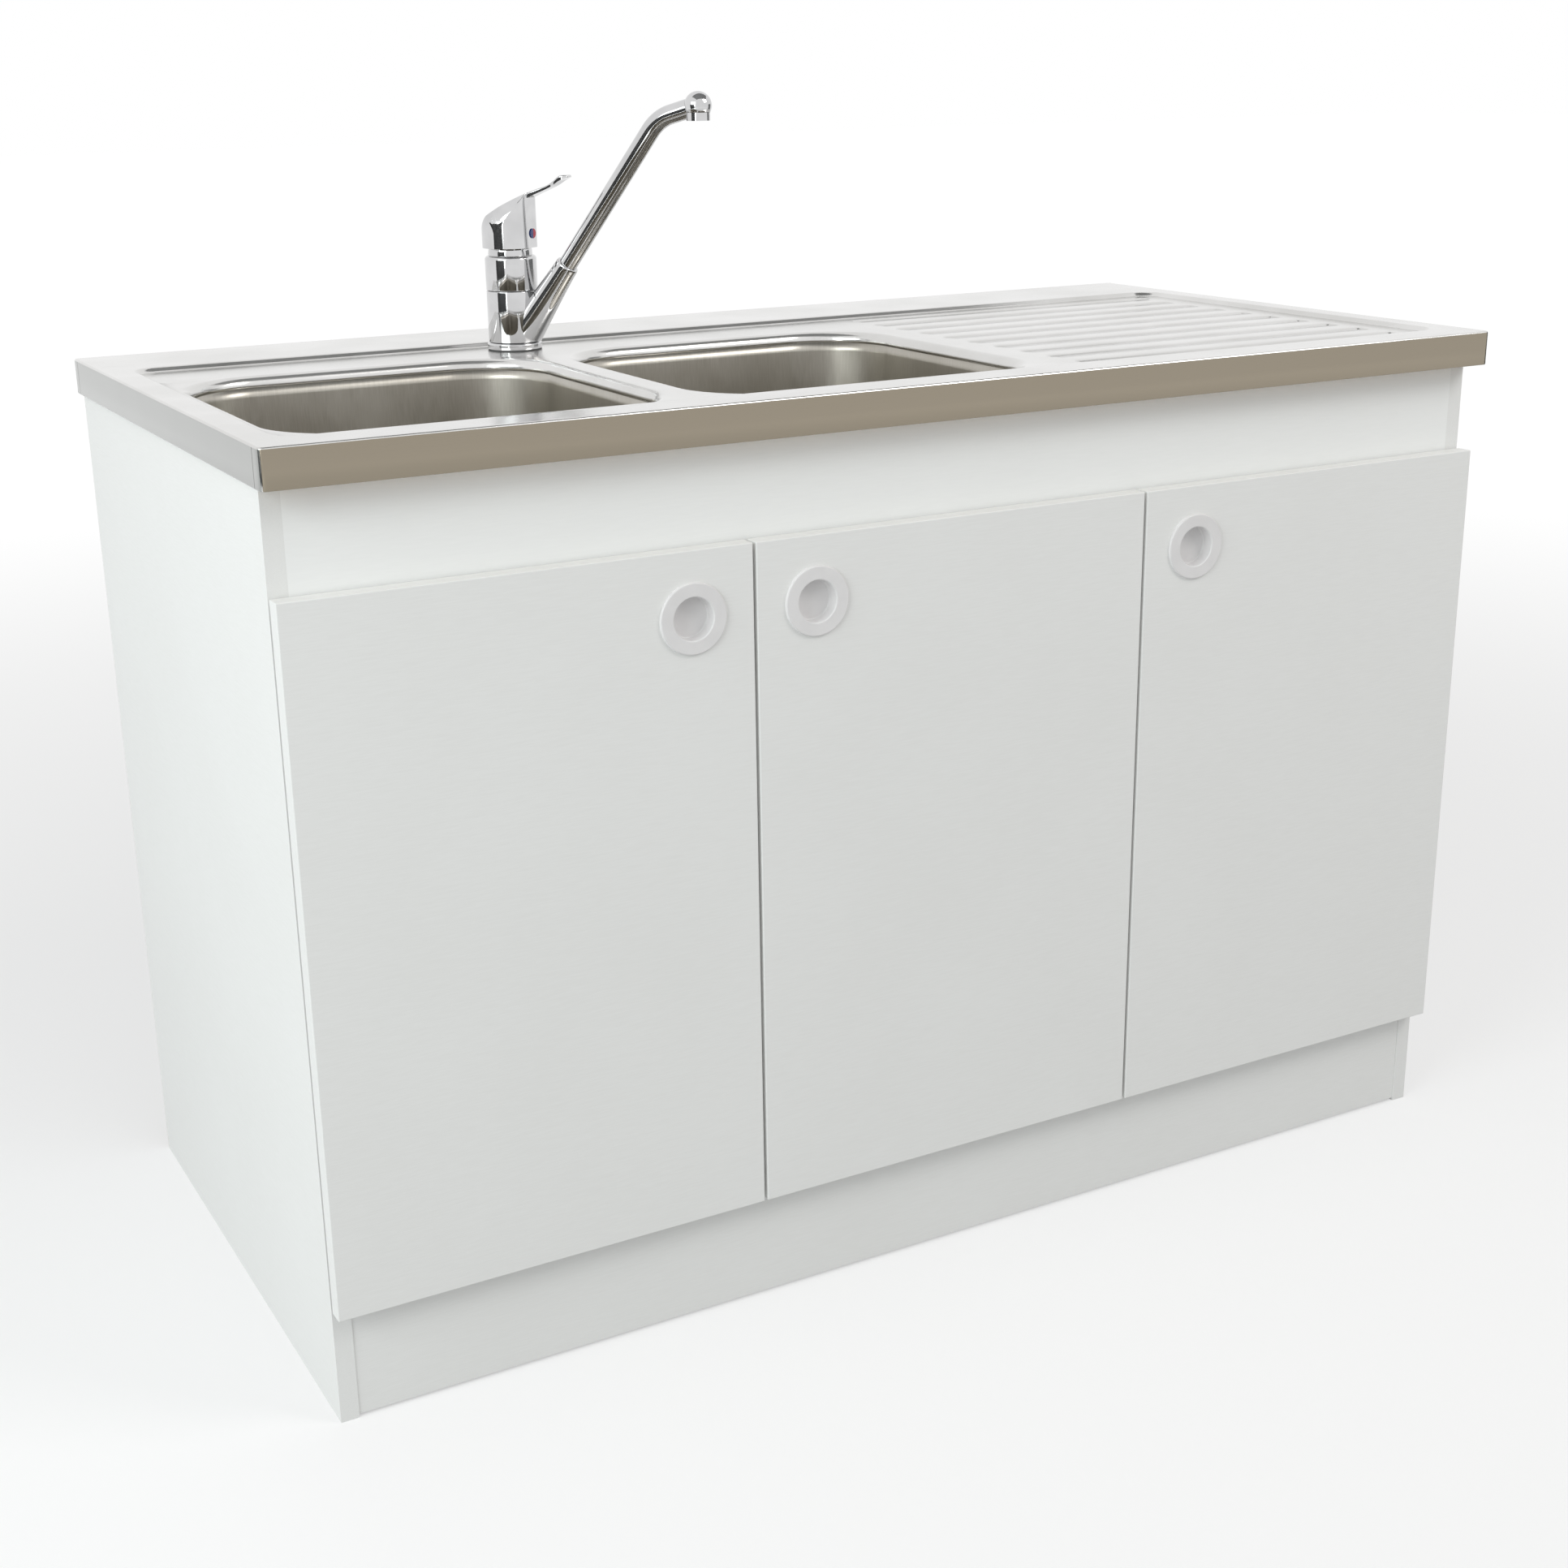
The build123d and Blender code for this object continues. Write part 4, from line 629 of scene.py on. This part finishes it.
# Lines of (reach, height) for the lever's top and its blade's belly, and of (distance to the side,
# height) for the cap's shoulder. The cap is cut off in front, and the blade ends in a half ellipse.
over = swept([(-26, 95.6), (-25.8, 101.6), (-24.4, 107.8), (-21, 114.4), (-13, 123.8), (-1, 132.6),
              (12, 139.8), (24, 145.2), (35, 148.9), (45, 152), (52.5, 156.2), (58.5, 160.6), (63, 161.4),
              (66.3, 160.8), (68, 159.5)])
under = swept([(24.9, 140.6), (33, 144), (42, 147.5), (51, 151.4), (60, 156.6), (68, 159.5)])
shoulder = np.array([(0, 190), (7.4, 190), (7.6, 147.4), (10.5, 143.6), (14, 139.4), (18.5, 134.4),
                     (22.6, 127.6), (24.9, 121.2), (25.8, 114.4), (26.1, 107), (27, 99)])
cap_radius, cap_front, blade_end, tip_reach, tip_ellipse = 26, 24.9, 60, 8, 8.02
cap_reach = -cap_radius * np.cos(np.linspace(0, pi, 72))
cap_reach = np.append(cap_reach[cap_reach < cap_front], cap_front)
tip = blade_end + tip_reach * np.sin(np.linspace(0.12, pi / 2, 10))
blade_reach = np.concatenate([[cap_front], np.linspace(25.5, blade_end, 26), tip])
reach = np.concatenate([cap_reach, blade_reach])[:, None]
in_cap = np.arange(len(reach))[:, None] < len(cap_reach)
waisted = 7.5 - 0.9 * climb((reach - 26) / 16) + 0.9 * climb((reach - 46) / 12)
blade = waisted * np.sqrt(np.clip(1 - (np.maximum(reach - blade_end, 0) / tip_ellipse) ** 2, 0, 1))
cap = np.sqrt(np.clip(cap_radius ** 2 - reach ** 2, 0, None))
half = np.where(in_cap, np.maximum(cap, 1e-6), blade)
ridge = np.interp(reach, *over.T)
belly = np.interp(reach, *under.T)
round_edge = np.minimum(np.where(in_cap, 1.1, (ridge - belly) * 0.42), half * 0.9 + 1e-6)
across = half * np.sin(np.linspace(pi / 2, -pi / 2, 41))[None]
fall = np.interp(np.abs(across), *shoulder.T)
crest = (ridge + fall - np.sqrt((ridge - fall) ** 2 + 2.2)) / 2
inward = np.clip((np.abs(across) - (half - round_edge)) / round_edge, 0, 1)
crest = crest - round_edge * (1 - np.sqrt(1 - inward ** 2))
# Under the cap a round pocket clears the crown, and outside it the cap's foot is flat.
pocket_radius, pocket_mouth, cap_foot = 21.4, 20.54, 95
pocket = pivot_height + np.sqrt(np.clip(pocket_radius ** 2 - reach ** 2 - across ** 2, 0, None))
hollow = np.where(in_cap, np.where(np.hypot(reach, across) < pocket_mouth, pocket, cap_foot), belly)
hollow = np.minimum(hollow, crest)
drop = np.linspace(0, 1, 12)[None, 1:-1]
near = crest[:, -1:] + (hollow[:, -1:] - crest[:, -1:]) * drop
far = hollow[:, :1] + (crest[:, :1] - hollow[:, :1]) * drop
loop_across = np.hstack([across, np.repeat(across[:, -1:], 10, 1), across[:, ::-1],
                         np.repeat(across[:, :1], 10, 1), across[:, :1]])
loop_height = np.hstack([crest, near, hollow[:, ::-1], far, crest[:, :1]])
loops = at_tap(np.repeat(reach, loop_across.shape[1], 1), loop_across, loop_height)
piece("tap_handle", [loops], chrome, "lever", ["tap_lever"], sharp=40)

dress(made_of("hot and cold button",
              lambda place: (place.node("ShaderNodeVectorMath", {"operation": "DOT_PRODUCT"},
                                        {0: place, 1: tuple(aside)}, output=1)
                             - float(aside @ foot)).ramp(-0.0003, 0.0003)
              .tint((0.02, 0.05, 0.22, 1), (0.55, 0.01, 0.04, 1)),
              lambda place: 0.14 + place.grain(0.002) * 0.08,
              lambda place: place.grain(0.001), 0.00002), "tap_index")


# ---------------------------------------------------------------- tap spout
# The chromed spout is brazed from three pieces: a sleeve that turns on the body's waist, a cast neck
# that leaves it at a slant and tapers to a collar, and a thin tube bent over into a round nose.


def bar(path, radii, steps=48):
    """A round bar in the tap's upright plane: at each point of the path a circle stands square to it."""
    path = np.array(path, float)
    way = np.gradient(path, axis=0)
    way /= np.linalg.norm(way, axis=1, keepdims=True)
    angle = np.append(np.linspace(0, 2 * pi, steps, endpoint=False), 0)
    radii = np.array(radii, float)[:, None]
    side, rise = radii * np.cos(angle), radii * np.sin(angle)
    return at_tap(path[:, :1] + way[:, 1:] * rise, side, path[:, 1:] - way[:, :1] * rise)


neck_start, neck_end = np.array([14.0, 18.0]), np.array([61.5, 80.5])
neck_length = np.linalg.norm(neck_end - neck_start)
lean = (neck_end - neck_start) / neck_length
taper = np.linspace(0.5, neck_length - 2, 20)
stretch = np.concatenate([[-1e-3, 0], taper, neck_length - np.array([1.1, 0.5, 0.2, 0, -1e-4])])
neck_radii = np.concatenate([[0, 16.6], 11 + 5.6 * (1 - taper / neck_length) ** 1.25,
                             [10.9, 10.6, 10.0, 8.6, 0]])
neck = bar(neck_start + np.outer(stretch, lean), neck_radii)
# The tube runs straight to the turning, is bent round it and runs straight to the nose.
turning, nose_at, bend_radius, tube_radius = np.array([160.0, 211.0]), np.array([200.0, 222.0]), 40, 8.7
first_way = (turning - neck_end) / np.linalg.norm(turning - neck_end)
last_way = (nose_at - turning) / np.linalg.norm(nose_at - turning)
steep, flat = np.arctan2(*first_way[::-1]), np.arctan2(*last_way[::-1])
right_of = np.array([first_way[1], -first_way[0]])
centre = turning - first_way * bend_radius * np.tan((steep - flat) / 2) + bend_radius * right_of
sweep = np.linspace(steep, flat, 14) + pi / 2
arc = centre + bend_radius * np.stack([np.cos(sweep), np.sin(sweep)], axis=1)
tube_path = np.vstack([neck_end - lean * 1.0, neck_end - lean * 0.999,
                       neck_end + (arc[0] - neck_end) * np.linspace(0.02, 0.97, 18)[:, None], arc,
                       nose_at - last_way * 9, nose_at - last_way * 8.999])
tube = bar(tube_path, [0] + [tube_radius] * (len(tube_path) - 2) + [0])
sleeve = turned([(18.0, 7.5)] + bend((23.6, 8.4), 0.9, -90, 0, 4) + bend((23.7, 54.6), 0.8, 0, 90, 5)
                + [(18.0, 55.4), (18.0, 7.5)])
nose = turned([(0, 216), (10.6, 216)] + bend((0, 222), 12.5, -27.5, 90, 22), along=200.0, steps=64)
piece("tap_swan_spout", [sleeve, neck, tube, nose], chrome, "spout", ["tap_spout"])
dress(chrome, "tap_aerator")

# ---------------------------------------------------------------- under the tap
# A threaded stud pulls the body down on the deck through a horseshoe washer and a steel stiffener; the
# nut, the carrier that turns with the lever and its stem are plain brass.
brass = plated("plain brass", (0.52, 0.36, 0.13, 1), (0.70, 0.52, 0.22, 1), 0.22, 0.38)
dress(brass, "tap_nut", "tap_stem", "tap_carrier", "tap_pivot_pin")
dress(made_of("grey cartridge",
              lambda place: place.grain(0.004).tint((0.09, 0.095, 0.10, 1), (0.14, 0.145, 0.15, 1)),
              lambda place: 0.4 + place.grain(0.003) * 0.15,
              lambda place: place.grain(0.001), 0.00003), "tap_cartridge")


def threaded(radius, pitch, low, high, steps=24, rows=6):
    """A threaded bar: the radius falls and rises once a pitch, and the fall moves on by a pitch a turn."""
    angle = np.append(np.linspace(0, 2 * pi, steps, endpoint=False), 2 * pi)
    height = np.linspace(low, high, round((high - low) / pitch * rows) + 1)[:, None]
    phase = np.abs((height / pitch - angle / (2 * pi)) % 1 - 0.5) * 2
    cut = radius - 0.6 * pitch * phase
    cut[0] = cut[-1] = 0
    return at_tap(cut * np.cos(angle), cut * np.sin(angle), height + 0 * angle)


stud_offset = np.array([0, -0.0105, 0])
stud = threaded(radius=4.0, pitch=1.25, low=-53.0, high=9.0) + stud_offset
piece("tap_stud_thread", [stud], zinc, "cabinet", ["tap_stud"])
